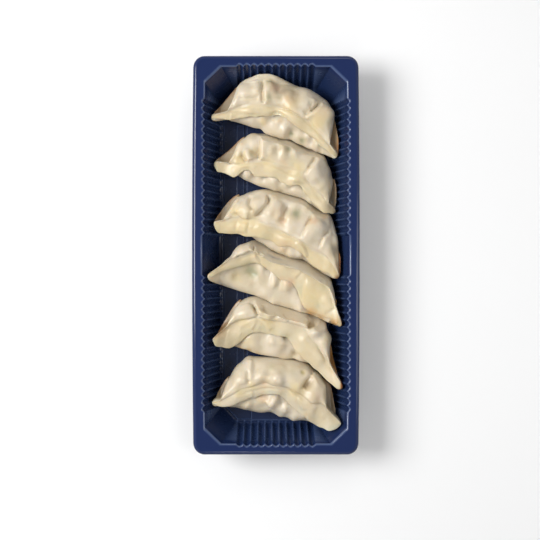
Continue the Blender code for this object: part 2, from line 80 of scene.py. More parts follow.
bpy.ops.object.camera_add(location=(CAMERA_PLACE[0] * MM, CAMERA_PLACE[1] * MM,
                                    (RIM_HEIGHT + CAMERA_HEIGHT) * MM))
camera = bpy.context.object
camera.name = "camera"
camera.data.sensor_width = CAMERA_FRAME
camera.data.lens = CAMERA_FRAME * CAMERA_HEIGHT / VIEW_WIDTH
camera.data.clip_start = 0.01
bpy.context.scene.camera = camera

bpy.ops.mesh.primitive_plane_add(size=TABLE_WIDTH)
table = bpy.context.object
table.name = "table"


class Paint:
    """One output of a material's node; arithmetic on it adds the nodes that work it out."""

    def __init__(self, tree, socket=None):
        self.tree = tree
        self.socket = socket

    def node(self, kind, settings, sockets, out=0):
        """Add a node, set it up, then set or link its sockets."""
        node = self.tree.nodes.new(kind)
        for name, value in settings.items():
            setattr(node, name, value)
        for name, value in sockets.items():
            if isinstance(value, Paint):
                self.tree.links.new(value.socket, node.inputs[name])
            else:
                node.inputs[name].default_value = value
        return Paint(self.tree, node.outputs[out])

    def math(self, operation, first, second):
        return self.node("ShaderNodeMath", {"operation": operation}, {0: first, 1: second})

    def mix(self, share, first, second):
        """A colour between two, by a share from 0 to 1."""
        return self.node("ShaderNodeMix", {"data_type": "RGBA"},
                         {0: share, 6: first, 7: second}, out=2)

    def noise(self, scale, detail=3.0, roughness=0.5):
        """A number that wanders round 0.5 over the piece; scale is per metre."""
        place = self.node("ShaderNodeTexCoord", {}, {}, out=3)
        return self.node("ShaderNodeTexNoise", {}, {"Vector": place, "Scale": scale,
                                                    "Detail": detail, "Roughness": roughness})

    def spread(self, low, high):
        """0 where the number is at low or under, 1 at high or over, smooth between."""
        return self.node("ShaderNodeMapRange", {"interpolation_type": "SMOOTHSTEP"},
                         {"Value": self, "From Min": low, "From Max": high})

    def __add__(self, other):
        return self.math("ADD", self, other)

    def __radd__(self, other):
        return self.math("ADD", other, self)

    def __sub__(self, other):
        return self.math("SUBTRACT", self, other)

    def __rsub__(self, other):
        return self.math("SUBTRACT", other, self)

    def __mul__(self, other):
        return self.math("MULTIPLY", self, other)

    def __rmul__(self, other):
        return self.math("MULTIPLY", other, self)


def start_material(name):
    """A new material, its Principled shader, and a Paint to build its colours with."""
    material = bpy.data.materials.new(name)
    material.use_nodes = True
    tree = material.node_tree
    return material, tree.nodes["Principled BSDF"], Paint(tree)


def feed(shader, socket, paint):
    """Link a worked-out value to one of the shader's sockets."""
    paint.tree.links.new(paint.socket, shader.inputs[socket])


# The pale walls are bright and the ceiling above the camera is dark.
paint = Paint(world.node_tree)
up = paint.node("ShaderNodeSeparateXYZ", {}, {0: paint.node("ShaderNodeTexCoord", {}, {})}, out=2)
feed(backdrop, "Strength", WALL_LIGHT - CEILING_SHADE * up.spread(0.5, 0.985))

white_top, shader, paint = start_material("white_top")
table_colour = paint.mix(paint.noise(6.0), (*TABLE_COLOUR, 1.0), (*TABLE_PALE, 1.0))
feed(shader, "Base Color", table_colour)
shader.inputs["Roughness"].default_value = 0.8
table.data.materials.append(white_top)


# The tray. One sheet of dark blue plastic about half a millimetre thick, drawn hot over a mould:
# a rolled lip, a flat flange, walls in round flutes with a plain panel in the middle, and a floor
# with raised bars. It starts as a ring of edge at the lip and is extruded inwards ring by ring.
SHEET = 0.55
OUTER_HALF = (48.85, 117.95)
OUTER_CORNER = 6.7
SIDE_BOW = 0.8
LIP_DROP = 3.2
LIP_PROFILE = ((0.0, 1.6), (0.12, 1.15), (0.4, 0.85), (0.9, 0.53), (1.4, 0.2), (1.8, 0.04),
               (2.2, 0.0), (2.8, 0.07), (3.4, 0.17), (3.8, 0.2))
RIM_HALF = (41.8, 111.2)
RIM_CUT = (9.7, 9.3)
FLOOR_HALF = (33.6, 102.6)
FLOOR_CUT = (8.5, 8.8)
FLUTE_DEPTH = 1.6
SIDE_FLUTES = 19
SIDE_PITCH = 4.2
PANEL_HALF = 13.2
PANEL_SHOULDER = 1.6
END_FLUTES = 11
END_PITCH = 4.3
FLUTE_STOPS = (0.0, 0.04, 0.1, 0.2, 0.35, 0.5, 0.65, 0.8, 0.9, 0.96)
FLUTE_FADE = 4.0
FLUTE_FOOT = 0.25
CUSP_ROUND = 0.14
CUSP_REACH = 0.35
CORNER_STEPS = 8
FLANGE_HEIGHT = RIM_HEIGHT - LIP_PROFILE[-1][1]
RIM_FILLET = 1.3
RIM_ROWS = 5
WALL_ROWS = 8
FLOOR_FILLET = 0.9
FLOOR_ROWS = 4
FLOOR_BEAD = 0.5
BEAD_PROFILE = ((0.3, 0.0), (0.5, 0.7), (0.75, 1.0), (1.0, 0.7), (1.2, 0.0))
LEVEL_WITHIN = 0.01
BAR_RISE = 0.6
BAR_SINK = 0.2
BAR_BEVEL = 0.3
BAR_INSET = 0.6
BAR_WIDTH = 5.0
BAR_PLACE = 21.8
BAR_SPANS = ((-81.0, -16.2), (-12.2, 12.2), (16.2, 81.0))
BAR_CORNER = 2.3
MID_PANEL = (18.0, 81.0)
MID_CORNER = 3.0
END_PANEL = (15.4, 89.5, 102.0)
END_CORNER = 1.2
# How strongly highlights are painted along the rim's fillet, the wall cusps and the floor's
# fillet.
RIM_SHINE = 0.9
CUSP_SHINE = 0.65
FOOT_SHINE = 0.9
PLASTIC_BLUE = (0.0085, 0.0195, 0.080)
PLASTIC_DEEP = (0.0115, 0.0235, 0.072)
PAINTED_HIGHLIGHT_BLUE = (0.060, 0.092, 0.190)


def flute_run(count, pitch, start):
    """Places along a wall and how far each stands out, 0 to 1, for a run of round flutes."""
    run = []
    for flute in range(count):
        for share in FLUTE_STOPS:
            lobe = math.hypot(math.sin(math.pi * share), CUSP_ROUND) - CUSP_ROUND
            run.append((start + (flute + share) * pitch, lobe))
    return run


side_run = SIDE_FLUTES * SIDE_PITCH
side_places = flute_run(SIDE_FLUTES, SIDE_PITCH, -PANEL_HALF - side_run)
side_places += [(-PANEL_HALF, 0.0), (PANEL_SHOULDER - PANEL_HALF, 1.0),
                (PANEL_HALF - PANEL_SHOULDER, 1.0)]
side_places += flute_run(SIDE_FLUTES, SIDE_PITCH, PANEL_HALF) + [(PANEL_HALF + side_run, 0.0)]
end_run = END_FLUTES * END_PITCH
end_places = flute_run(END_FLUTES, END_PITCH, -end_run / 2) + [(end_run / 2, 0.0)]


def tray_outline(half, reach, z, flutes=0.0, rounded=False, bow=0.0):
    """The tray's outline at one height, anticlockwise; its corners are cut, or round."""
    ends = (half[0] - reach[0], half[1] - reach[1])
    loop = []
    for y, out in [(-ends[1], 0.0)] + side_places + [(ends[1], 0.0)]:
        loop.append((half[0] + out * flutes + bow * (1 - (y / half[1]) ** 2), y))
    corner = []
    for step in range(1, CORNER_STEPS):
        share = step / CORNER_STEPS
        across, along = 1 - share, share
        if rounded:
            across, along = math.cos(math.pi / 2 * share), math.sin(math.pi / 2 * share)
        corner.append((ends[0] + reach[0] * across, ends[1] + reach[1] * along))
    loop += corner
    for x, out in [(-ends[0], 0.0)] + end_places + [(ends[0], 0.0)]:
        loop.append((-x, half[1] + out * flutes))
    loop += [(-x, y) for x, y in reversed(corner)]
    return [(x, y, z) for x, y in loop] + [(-x, -y, z) for x, y in loop]


def lip_outline(inset, z):
    """One ring of the lip."""
    half = (OUTER_HALF[0] - inset, OUTER_HALF[1] - inset)
    radius = OUTER_CORNER - inset
    return tray_outline(half, (radius, radius), z, rounded=True, bow=SIDE_BOW)


def wall_outline(share, z, flutes, inset=0.0):
    """One ring of the wall; share runs from 0 at the rim to 1 at the floor."""
    half = [r + (f - r) * share - inset for r, f in zip(RIM_HALF, FLOOR_HALF)]
    cut = [r + (f - r) * share for r, f in zip(RIM_CUT, FLOOR_CUT)]
    return tray_outline(half, cut, z, flutes=flutes)


# How near each point of a ring is to a sharp cusp between two flutes, where a highlight is
# painted.
flat, fluted = (tray_outline(FLOOR_HALF, FLOOR_CUT, 0.0, flutes=depth) for depth in (0.0, 1.0))
standing = [math.dist(a, b) for a, b in zip(flat, fluted)]
cusps = []
for index, out in enumerate(standing):
    near = max(standing[index - 1], standing[(index + 1) % len(standing)])
    cusps.append(max(0.0, 1 - out / CUSP_REACH) if near > 0.01 else 0.0)

# The sheet's rings from lip to floor, and how much highlight is painted all round each and at
# cusps.
rings = [lip_outline(0.0, RIM_HEIGHT - LIP_DROP)]
rings += [lip_outline(inset, RIM_HEIGHT - drop) for inset, drop in LIP_PROFILE]
ring_highlights = [(0.0, 0.0)] * len(rings)
for step in range(RIM_ROWS + 1):
    angle = math.pi / 2 * step / RIM_ROWS
    drop = RIM_FILLET * (1 - math.cos(angle))
    rings.append(wall_outline(0.0, FLANGE_HEIGHT - drop, FLUTE_DEPTH,
                              inset=RIM_FILLET * (math.sin(angle) - 1)))
    ring_highlights.append((RIM_SHINE * math.sin(2 * angle), 0.0))
wall_top = FLANGE_HEIGHT - RIM_FILLET
wall_foot = SHEET + FLOOR_FILLET
for step in range(1, WALL_ROWS + 1):
    share = (step / WALL_ROWS) ** 0.8
    z = wall_top + (wall_foot - wall_top) * share
    closing = math.sin(math.pi / 2 * min(1.0, (z - SHEET) / FLUTE_FADE))
    rings.append(wall_outline(1 - (z - SHEET) / (wall_top - SHEET), z,
                              FLUTE_DEPTH * (FLUTE_FOOT + (1 - FLUTE_FOOT) * closing)))
    ring_highlights.append((0.0, CUSP_SHINE))
for step in range(1, FLOOR_ROWS + 1):
    angle = math.pi / 2 * step / FLOOR_ROWS
    rings.append(wall_outline(1.0, wall_foot - FLOOR_FILLET * math.sin(angle), 0.15,
                              inset=FLOOR_FILLET * (1 - math.cos(angle))))
    ring_highlights.append((0.0, FOOT_SHINE))
for inset, rise in BEAD_PROFILE:
    rings.append(wall_outline(1.0, SHEET + FLOOR_BEAD * rise, 0.1, inset=FLOOR_FILLET + inset))
    ring_highlights.append((rise ** 2, 0.0))

bpy.ops.mesh.primitive_circle_add(vertices=len(rings[0]), radius=0.1)
tray = bpy.context.object
tray.name = "tray"
bpy.ops.object.mode_set(mode="EDIT")
mesh = bmesh.from_edit_mesh(tray.data)
order = mesh.verts.layers.int.new("order")
# The edge layer holds how much paler blue is painted on each point as a highlight.
mesh.verts.layers.float.new("edge")
mesh.verts.ensure_lookup_table()
for index, vert in enumerate(mesh.verts):
    vert[order] = index
for number, ring in enumerate(rings):
    if number:
        bpy.ops.mesh.extrude_region_move()
    mesh = bmesh.from_edit_mesh(tray.data)
    order = mesh.verts.layers.int["order"]
    edge = mesh.verts.layers.float["edge"]
    all_round, at_cusps = ring_highlights[number]
    for vert in mesh.verts:
        if vert.select:
            vert.co = [c * MM for c in ring[vert[order]]]
            vert[edge] = all_round + at_cusps * cusps[vert[order]]
    bmesh.update_edit_mesh(tray.data)
bpy.ops.mesh.edge_face_add()
bpy.ops.mesh.select_all(action="SELECT")
bpy.ops.mesh.normals_make_consistent(inside=False)
bpy.ops.object.mode_set(mode="OBJECT")
if tray.data.polygons[-1].normal.z < 0:
    tray.data.flip_normals()
solid = tray.modifiers.new("sheet", "SOLIDIFY")
solid.thickness = SHEET * MM
solid.offset = -1.0
bpy.ops.object.modifier_apply(modifier="sheet")

# The bars and panels of the floor, pressed up in the same sheet.
parts = [tray]


def add_raised(x0, x1, y0, y1, corner):
    """One flat-topped bar or panel with round corners, standing on the floor."""
    middle = ((x0 + x1) / 2 * MM, (y0 + y1) / 2 * MM, (SHEET + BAR_RISE / 2 - BAR_SINK / 2) * MM)
    bpy.ops.mesh.primitive_cube_add(size=1.0, location=middle)
    bar = bpy.context.object
    bar.scale = ((x1 - x0) * MM, (y1 - y0) * MM, (BAR_RISE + BAR_SINK) * MM)
    bpy.ops.object.transform_apply(location=True, rotation=True, scale=True)
    bpy.ops.object.mode_set(mode="EDIT")
    mesh = bmesh.from_edit_mesh(bar.data)
    for edge in mesh.edges:
        first, second = (v.co for v in edge.verts)
        edge.select_set(abs(first.z - second.z) > LEVEL_WITHIN * MM)
    bmesh.update_edit_mesh(bar.data)
    bpy.ops.mesh.bevel(offset=corner * MM, segments=6, affect="EDGES")
    bpy.ops.mesh.select_all(action="DESELECT")
    mesh = bmesh.from_edit_mesh(bar.data)
    top = max(v.co.z for v in mesh.verts)
    for edge in mesh.edges:
        edge.select_set(all(top - v.co.z < LEVEL_WITHIN * MM for v in edge.verts))
    bmesh.update_edit_mesh(bar.data)
    bpy.ops.mesh.bevel(offset=BAR_BEVEL * MM, segments=2, affect="EDGES")
    bpy.ops.mesh.select_all(action="DESELECT")
    mesh = bmesh.from_edit_mesh(bar.data)
    # The rim of the flat top gets a painted highlight through the edge layer; the inset middle
    # gets none.
    edge = mesh.verts.layers.float.new("edge")
    flat_top = max(mesh.faces, key=lambda face: face.calc_center_median().z)
    for vert in flat_top.verts:
        vert[edge] = 1.0
    flat_top.select_set(True)
    bmesh.update_edit_mesh(bar.data)
    bpy.ops.mesh.inset(thickness=BAR_INSET * MM)
    mesh = bmesh.from_edit_mesh(bar.data)
    edge = mesh.verts.layers.float["edge"]
    for vert in mesh.verts:
        if vert.select:
            vert[edge] = 0.0
    bmesh.update_edit_mesh(bar.data)
    bpy.ops.object.mode_set(mode="OBJECT")
    parts.append(bar)


for side in (-1, 1):
    for y0, y1 in BAR_SPANS:
        add_raised(side * BAR_PLACE - BAR_WIDTH / 2, side * BAR_PLACE + BAR_WIDTH / 2, y0, y1,
                   BAR_CORNER)
    ends = sorted((side * END_PANEL[1], side * END_PANEL[2]))
    add_raised(-END_PANEL[0], END_PANEL[0], ends[0], ends[1], END_CORNER)
add_raised(-MID_PANEL[0], MID_PANEL[0], -MID_PANEL[1], MID_PANEL[1], MID_CORNER)

bpy.ops.object.select_all(action="DESELECT")
for part in parts:
    part.select_set(True)
bpy.context.view_layer.objects.active = tray
bpy.ops.object.join()
bpy.ops.object.shade_smooth_by_angle(angle=math.radians(35))

# The flange is bluer and glossier than the walls and floor, which are drawn thinner.
FLANGE_FROM = (0.020, 0.0255)
gloss_navy, shader, paint = start_material("gloss_navy")
place = paint.node("ShaderNodeTexCoord", {}, {}, out=3)
height = paint.node("ShaderNodeSeparateXYZ", {}, {0: place}, out=2)
flange = height.spread(*FLANGE_FROM) * (0.88 + 0.16 * paint.noise(45.0, 4.0))
plain = paint.mix(flange, (*PLASTIC_DEEP, 1.0), (*PLASTIC_BLUE, 1.0))
# The edge layer paints highlights in paler blue along the rim, cusps, floor edge and bar tops.
edges = paint.node("ShaderNodeAttribute", {"attribute_name": "edge"}, {}, out=2)
feed(shader, "Base Color", paint.mix(edges, plain, (*PAINTED_HIGHLIGHT_BLUE, 1.0)))
feed(shader, "Roughness", paint.noise(160.0, 2.0) * 0.06 + 0.24 - 0.13 * flange)
wave = paint.noise(70.0, 2.0)
feed(shader, "Normal", paint.node("ShaderNodeBump", {}, {"Height": wave, "Strength": 0.012,
                                                         "Distance": 0.0006}))
tray.data.materials.append(gloss_navy)
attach(tray, "root")
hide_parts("tray")


# The dumplings. Each is one round of wheat dough folded over its filling, pleated by hand along
# the seam and browned underneath. The pleated front bulges, the seam is pressed into a thin band
# that falls over the lumpy back, and flat ears of dough are left at both tips.
GAP = 0.3
WALL_GAP = 0.45
SEAT_HEIGHT = SHEET + BAR_RISE + GAP
FIN_THICKNESS = 1.0
FIN_CLEARANCE = 0.8
FIN_LEAST = 0.8
FIN_SLOPE = 0.42
FIN_DROOP = 0.8
SKIRT_THICKNESS = 2.4
SKIRT_LEAST = 2.0
BODY_LEAST = 2.2
BODY_OVERHANG = 0.5
EAR_SHARE = 0.56
EAR_THICKNESS = 2.6
EAR_BULGE = 4.5
SEAM_DIP = 2.4
BULGE_SHARE = 0.4
BACK_FOOT_INSET = 3.6
FRONT_FOOT_INSET = 3.0
PRESS_LEAN = 0.45
PRESS_HEIGHT = 9.0
PRESS_SOFTNESS = 0.35
TIP_ROUND = 0.93
TIP_CLOSING = 0.97
TIP_DROP = 1.5
STATIONS = 260
TIP_CROWDING = 0.45
SPAN_STEPS = 7
BASE_STEPS = 4
MERGE_WITHIN = 0.0005
DUMPLING_COUNT = 6

# Bands of the section, counted in its control points, and how near the tips they reach.
FRONT_BAND = (1.5, 3.0, 7.6, 8.05)
FIN_BAND = (8.0, 8.6, 11.0, 11.9)
BACK_BAND = (13.0, 13.8, 16.0, 17.5)
SEAM_STAIN_BAND = (7.5, 8.4, 11.6, 12.2)
EAR_BAND = (3.2, 4.4)
RIM_BAND = (0.9, 1.6)
RELIEF_REACH = (0.93, 0.99)
UNEVEN_REACH = (0.74, 0.92)
TIP_STAIN_FROM = (0.8, 0.98)

# The small unevenness of handmade dough, drawn with a seed of each dumpling's own.
FIRST_SEED = 11
DIP_RANGE = (0.35, 1.25)
DIP_PLACES = 12
FRAY = 0.45
FRAY_PLACES = 26
UNEVEN_SPOTS = 130
UNEVEN_ALONG = (-36, 36)
UNEVEN_ACROSS = (-2, 34)
UNEVEN_SIZE = (2.0, 4.6)
UNEVEN_HEIGHT = (-0.5, 0.6)

# How folds are shaped, and how strongly pleats, lumps, creases, stains and painted shade come out.
STEP_RISE = 1.3
STEP_TAIL = 1.4
GROOVE_DEPTH = 0.45
GROOVE_PLACE = 0.7
SHADE_PLACE = 0.5
SHADE_WIDTH = 0.45
SHADE_MOST = 1.2
DENT_DEPTH = 1.2
DENT_LIMIT = 1.6
PLEAT = 0.95
LUMP = 1.7
LINE = 1.3
TINT = 1.4
TINT_LIMIT = 0.9
TIP_STAIN = 0.4
EAR_STAIN = 0.9
RIM_STAIN = 0.55
FOLD_SHADE = 0.5
DOUGH_PALE = (0.655, 0.575, 0.45, 1.0)
DOUGH_DEEP = (0.605, 0.52, 0.375, 1.0)
DOUGH_DRY = (0.55, 0.465, 0.325, 1.0)
CRUST_LIGHT = (0.45, 0.23, 0.08, 1.0)
CRUST_DARK = (0.18, 0.06, 0.018, 1.0)
# Colours laid over the dough: real stains, and fold, a shade painted into the bottoms of folds.
STAIN_AND_SHADE_COLOURS = {
    "green": (0.34, 0.34, 0.22),
    "pink": (0.62, 0.42, 0.29),
    "grey": (0.34, 0.29, 0.215),
    "filling": (0.25, 0.19, 0.15),
    "yellow": (0.64, 0.525, 0.30),
    "tan": (0.40, 0.31, 0.205),
    "olive": (0.40, 0.33, 0.14),
    # painted shade for the bottoms of folds
    "fold": (0.36, 0.21, 0.09),
    "brown": (0.27, 0.10, 0.03),
    "toast": (0.46, 0.245, 0.085),
}


def smooth_step(value, low, high):
    """0 below low, 1 above high, smooth between."""
    share = np.clip((value - low) / (high - low), 0.0, 1.0)
    return share * share * (3 - 2 * share)


def band(value, start, full, ebb, end):
    """1 from full to ebb, falling to 0 at start and at end."""
    return smooth_step(value, start, full) * (1 - smooth_step(value, ebb, end))


def smooth_between(before, start, end, after, share):
    """A smooth curve from start to end that heads on from the values before and after."""
    return 0.5 * (2 * start + (end - before) * share
                  + (2 * before - 5 * start + 4 * end - after) * share ** 2
                  + (3 * start - before - 3 * end + after) * share ** 3)


def read_even(values, x):
    """A smooth curve through values at even places from -1 to 1."""
    spans = len(values) - 1
    padded = np.array([values[0], *values, values[-1]], dtype=float)
    place = np.clip((x + 1) / 2 * spans, 0, spans - 1e-6)
    left = place.astype(int)
    return smooth_between(padded[left], padded[left + 1], padded[left + 2], padded[left + 3],
                          place - left)


def crest_line(spec, x):
    """How high the seam stands along the dumpling."""
    tip = np.where(x < 0, spec["tips"][0], spec["tips"][1])
    return tip + (spec["height"] - tip) * (1 - np.abs(x) ** 2.6) ** 0.8


def front_lines(spec, x):
    """How far forward the filled body and the flat ear below it reach, and where the ear shows."""
    side = np.abs(x)
    left = x < 0
    body_end = np.where(left, spec["ends"][0], spec["ends"][1])
    fullness = np.where(left, spec["full"][0], spec["full"][1])
    crest = read_even(spec["crest"], x)
    skirt = np.maximum(read_even(spec["front"], x), crest + SKIRT_LEAST)
    cut = np.clip(1 - (side / body_end) ** fullness, 0, 1) ** 0.6
    body = crest + BODY_LEAST + (skirt + BODY_OVERHANG - crest - BODY_LEAST) * cut
    return body, skirt, smooth_step(skirt - body, 0.0, 3.0)


def section_controls(spec, x):
    """The control points of the dough's outline at each station, from front foot to back foot."""
    side = np.abs(x)
    crest_height = crest_line(spec, x)
    crest = read_even(spec["crest"], x)
    fin = read_even(spec["fin"], x) + read_even(spec["fray"], x)
    fin = fin * np.clip(1 - side ** 14, 0, 1) ** 0.5 + FIN_LEAST
    body, skirt, flare = front_lines(spec, x)
    back = np.minimum(read_even(spec["back"], x), crest - 3.0)
    seam_height = crest_height - SEAM_DIP * read_even(spec["dip"], x) * (1 - side ** 6)
    front_foot = body - FRONT_FOOT_INSET * (1 - side ** 4)
    front_foot = np.maximum(front_foot * (1 - flare) + skirt * flare, crest + 1.2)
    ear = SKIRT_THICKNESS + (EAR_SHARE * crest_height - SKIRT_THICKNESS) * flare
    bulge = BULGE_SHARE * crest_height + EAR_BULGE * flare
    slope = FIN_SLOPE * (1 - side ** 6)
    droop = fin * slope * FIN_DROOP
    root = np.maximum(seam_height - droop - FIN_THICKNESS - FIN_CLEARANCE, 0.45 * crest_height)
    droop = np.minimum(droop, seam_height - root - FIN_THICKNESS - 0.5 * FIN_CLEARANCE)
    droop = np.maximum(droop, 0.1)
    width = body - crest
    depth = crest - 1.0 - back
    foot = np.minimum(back + 0.4 + BACK_FOOT_INSET * (1 - side ** 6), crest - 1.4)
    neck = body * (1 - flare) + (body * 0.7 + skirt * 0.3) * flare
    full = 0.45 * (1 - flare)
    controls = [
        # from the front foot, or the flat ear, up the bulging front to the crest
        (front_foot, (ear - EAR_THICKNESS) * flare),
        (front_foot * (1 - full) + body * full, ear * 0.95 + bulge * 0.1 * (1 - flare)),
        (neck, ear * (0.45 + 0.55 * flare) + bulge * 0.55 * (1 - flare)),
        (body, bulge),
        (crest + 0.93 * width, bulge + 0.38 * (crest_height - bulge)),
        (crest + 0.76 * width, bulge + 0.68 * (crest_height - bulge)),
        (crest + 0.40 * width, bulge + 0.97 * (crest_height - bulge)),
        (crest + 1.0 + 0.1 * width, crest_height - 0.25 * (crest_height - seam_height)),
        (crest + 0.6, seam_height),
        # out over the seam's thin band and back under it
        (crest - 0.5 * fin, seam_height - 0.3 * droop),
        (crest - fin, seam_height - droop),
        (crest - fin + 0.25, seam_height - droop - FIN_THICKNESS),
        (crest - 0.5 * fin - 0.2, seam_height - 0.35 * droop - FIN_THICKNESS),
        # down the back to its foot
        (crest - 1.0, root),
        (crest - 1.0 - 0.5 * depth, bulge + 0.90 * (root - bulge)),
        (crest - 1.0 - 0.84 * depth, bulge + 0.58 * (root - bulge)),
        (back, bulge),
        (back + 0.35 * (foot - back), 0.45 * bulge),
        (foot, 0.0 * x),
    ]
    return [np.stack(np.broadcast_arrays(v, w), axis=-1) for v, w in controls]


def section_columns(spec, x):
    """Columns of points right round the section, the last one back on the first."""
    controls = section_controls(spec, x)
    columns = []
    for span in range(len(controls) - 1):
        near = [controls[min(max(span + step, 0), len(controls) - 1)] for step in (-1, 0, 1, 2)]
        for step in range(SPAN_STEPS):
            columns.append(smooth_between(*near, step / SPAN_STEPS))
    for step in range(BASE_STEPS + 1):
        share = step / BASE_STEPS
        columns.append(controls[-1] * (1 - share) + controls[0] * share)
    columns = np.stack(columns, axis=1)
    past = np.clip((np.abs(x) - TIP_ROUND) / (1 - TIP_ROUND), 0, 1)
    rounding = np.sqrt(1 - TIP_CLOSING * past ** 2)
    middle = columns.mean(axis=1, keepdims=True)
    middle[..., 1] = columns[..., 1].max(axis=1, keepdims=True) - TIP_DROP
    return middle + (columns - middle) * np.stack((rounding, rounding ** 0.5), axis=-1)[:, None]


def stroke(path, u, v):
    """Where points lie by a curved stroke: distance along it, offset to its right, its length."""
    bends = [np.array(p, dtype=float) for p in (path[0], *path, path[-1])]
    dots = []
    for span in range(len(path) - 1):
        dots += [smooth_between(*bends[span:span + 4], share) for share in (0.0, 0.25, 0.5, 0.75)]
    dots.append(bends[-1])
    best = np.full(u.shape, 1e9)
    run = np.zeros(u.shape)
    offset = np.zeros(u.shape)
    length = 0.0
    for start, end in zip(dots, dots[1:]):
        dx, dy = end - start
        size = math.hypot(dx, dy)
        share = np.clip(((u - start[0]) * dx + (v - start[1]) * dy) / size ** 2, 0, 1)
        gap = np.hypot(u - start[0] - share * dx, v - start[1] - share * dy)
        side = np.sign((u - start[0]) * dy - (v - start[1]) * dx)
        nearer = gap < best
        best = np.where(nearer, gap, best)
        offset = np.where(nearer, gap * side, offset)
        run = np.where(nearer, length + share * size, run)
        length += size
    return run, offset, length


def fade_ends(run, length, start, end):
    """1 along the middle of a stroke and 0 at its two ends."""
    return band(run, -0.1, start * length, end * length, 1.01 * length)


def step_relief(strokes, u, v):
    """Overlapping edges: high on one side of the stroke, a groove along the other."""
    total = np.zeros(u.shape)
    for path, height, spread in strokes:
        run, offset, length = stroke(path, u, v)
        offset = offset * math.copysign(1.0, spread)
        fade = fade_ends(run, length, 0.12, 0.85)
        past = np.maximum(offset - STEP_RISE, 0.0)
        ridge = smooth_step(offset, -1.0, STEP_RISE) * np.exp(-past / (STEP_TAIL * abs(spread)))
        groove = GROOVE_DEPTH * np.exp(-(offset + GROOVE_PLACE) ** 2)
        total += PLEAT * fade * height * (ridge - groove)
    return total


def crease_shade(strokes, u, v):
    """How much shade is painted into the narrow bottom of each fold, 0 to 1."""
    total = np.zeros(u.shape)
    for path, height, spread in strokes:
        run, offset, length = stroke(path, u, v)
        fade = fade_ends(run, length, 0.2, 0.75)
        offset = offset * math.copysign(1.0, spread) + (SHADE_PLACE if height > 0 else 0.0)
        depth = fade * np.minimum(abs(height), SHADE_MOST)
        total = np.maximum(total, depth * np.exp(-(offset / SHADE_WIDTH) ** 2))
    return total


def line_relief(strokes, u, v):
    """Creases and ridges: a stroke that is pushed in or out."""
    total = np.zeros(u.shape)
    for path, height, width in strokes:
        run, offset, length = stroke(path, u, v)
        fade = fade_ends(run, length, 0.15, 0.85)
        total += LINE * fade * height * np.exp(-(offset / (LINE * width)) ** 2)
    return total


def lump_relief(lumps, u, v):
    """Filling that shows through the dough as lumps, and dimples between it."""
    total = np.zeros(u.shape)
    for x, y, size, height in lumps:
        total += LUMP * height * np.exp(-((u - x) ** 2 + (v - y) ** 2) / size ** 2)
    return total


def grid_normals(points):
    """Unit normals of a grid of points, pointing out of the dough."""
    along = np.gradient(points, axis=0)
    looped = np.concatenate((points[:, -2:-1], points, points[:, 1:2]), axis=1)
    normal = np.cross(looped[:, 2:] - looped[:, :-2], along)
    return normal / np.maximum(np.linalg.norm(normal, axis=2, keepdims=True), 1e-9)


def to_world(spec, points):
    """Points in a dumpling's own axes (along, across, up) placed in the tray."""
    c, s = math.cos(math.radians(spec["turn"])), math.sin(math.radians(spec["turn"]))
    x = spec["place"][0] + points[..., 0] * c - points[..., 1] * s
    y = spec["place"][1] + points[..., 0] * s + points[..., 1] * c
    return np.stack((x, y, points[..., 2]), axis=-1)


def to_local(spec, points):
    """Points in the tray in one dumpling's own axes."""
    c, s = math.cos(math.radians(spec["turn"])), math.sin(math.radians(spec["turn"]))
    dx, dy = points[..., 0] - spec["place"][0], points[..., 1] - spec["place"][1]
    return np.stack((dx * c + dy * s, -dx * s + dy * c, points[..., 2]), axis=-1)


def press_limit(spec, local):
    """Where the face between a dumpling's back and the next one's front lies."""
    x = np.clip(local[..., 0] / spec["half"], -1, 1)
    return read_even(spec["back"], x) - PRESS_LEAN * (local[..., 2] - PRESS_HEIGHT)


def soft_cap(value, limit):
    """A value kept under its limit, with a soft turn as it nears it."""
    over = np.clip((value - limit) / PRESS_SOFTNESS, -40, 40)
    return value - PRESS_SOFTNESS * np.log1p(np.exp(over))


# The tray's sloping walls as seen from a dumpling: the way out, the reach at the floor and the
# rise per millimetre.
wall_rise = RIM_HEIGHT - SHEET
cut_length = math.hypot(*FLOOR_CUT)
cut_x, cut_y = FLOOR_CUT[1] / cut_length, FLOOR_CUT[0] / cut_length
cut_floor = cut_x * FLOOR_HALF[0] + cut_y * (FLOOR_HALF[1] - FLOOR_CUT[1])
cut_rim = min(cut_x * RIM_HALF[0] + cut_y * (RIM_HALF[1] - RIM_CUT[1]),
              cut_x * (RIM_HALF[0] - RIM_CUT[0]) + cut_y * RIM_HALF[1])
wall_planes = (
    (1.0, 0.0, FLOOR_HALF[0], wall_rise / (RIM_HALF[0] - FLOOR_HALF[0])),
    (0.0, 1.0, FLOOR_HALF[1], wall_rise / (RIM_HALF[1] - FLOOR_HALF[1])),
    (cut_x, cut_y, cut_floor, wall_rise / (cut_rim - cut_floor)),
)


def wall_lift(points):
    """How high the tray's walls stand over the seat at each point, with their gap."""
    highest = np.zeros(points.shape[:-1])
    for nx, ny, reach, slope in wall_planes:
        beyond = np.abs(points[..., 0]) * nx + np.abs(points[..., 1]) * ny + WALL_GAP - reach
        highest = np.maximum(highest, beyond * slope - (SEAT_HEIGHT - SHEET))
    return highest


def press_walls(points):
    """Keep a dumpling inside the tray's walls."""
    above_floor = points[..., 2] + SEAT_HEIGHT - SHEET
    for nx, ny, reach, slope in wall_planes:
        out = np.abs(points[..., 0]) * nx + np.abs(points[..., 1]) * ny
        over = np.maximum(out + WALL_GAP - reach - above_floor / slope, 0.0)
        points[..., 0] -= np.sign(points[..., 0]) * nx * over
        points[..., 1] -= np.sign(points[..., 1]) * ny * over
    return points


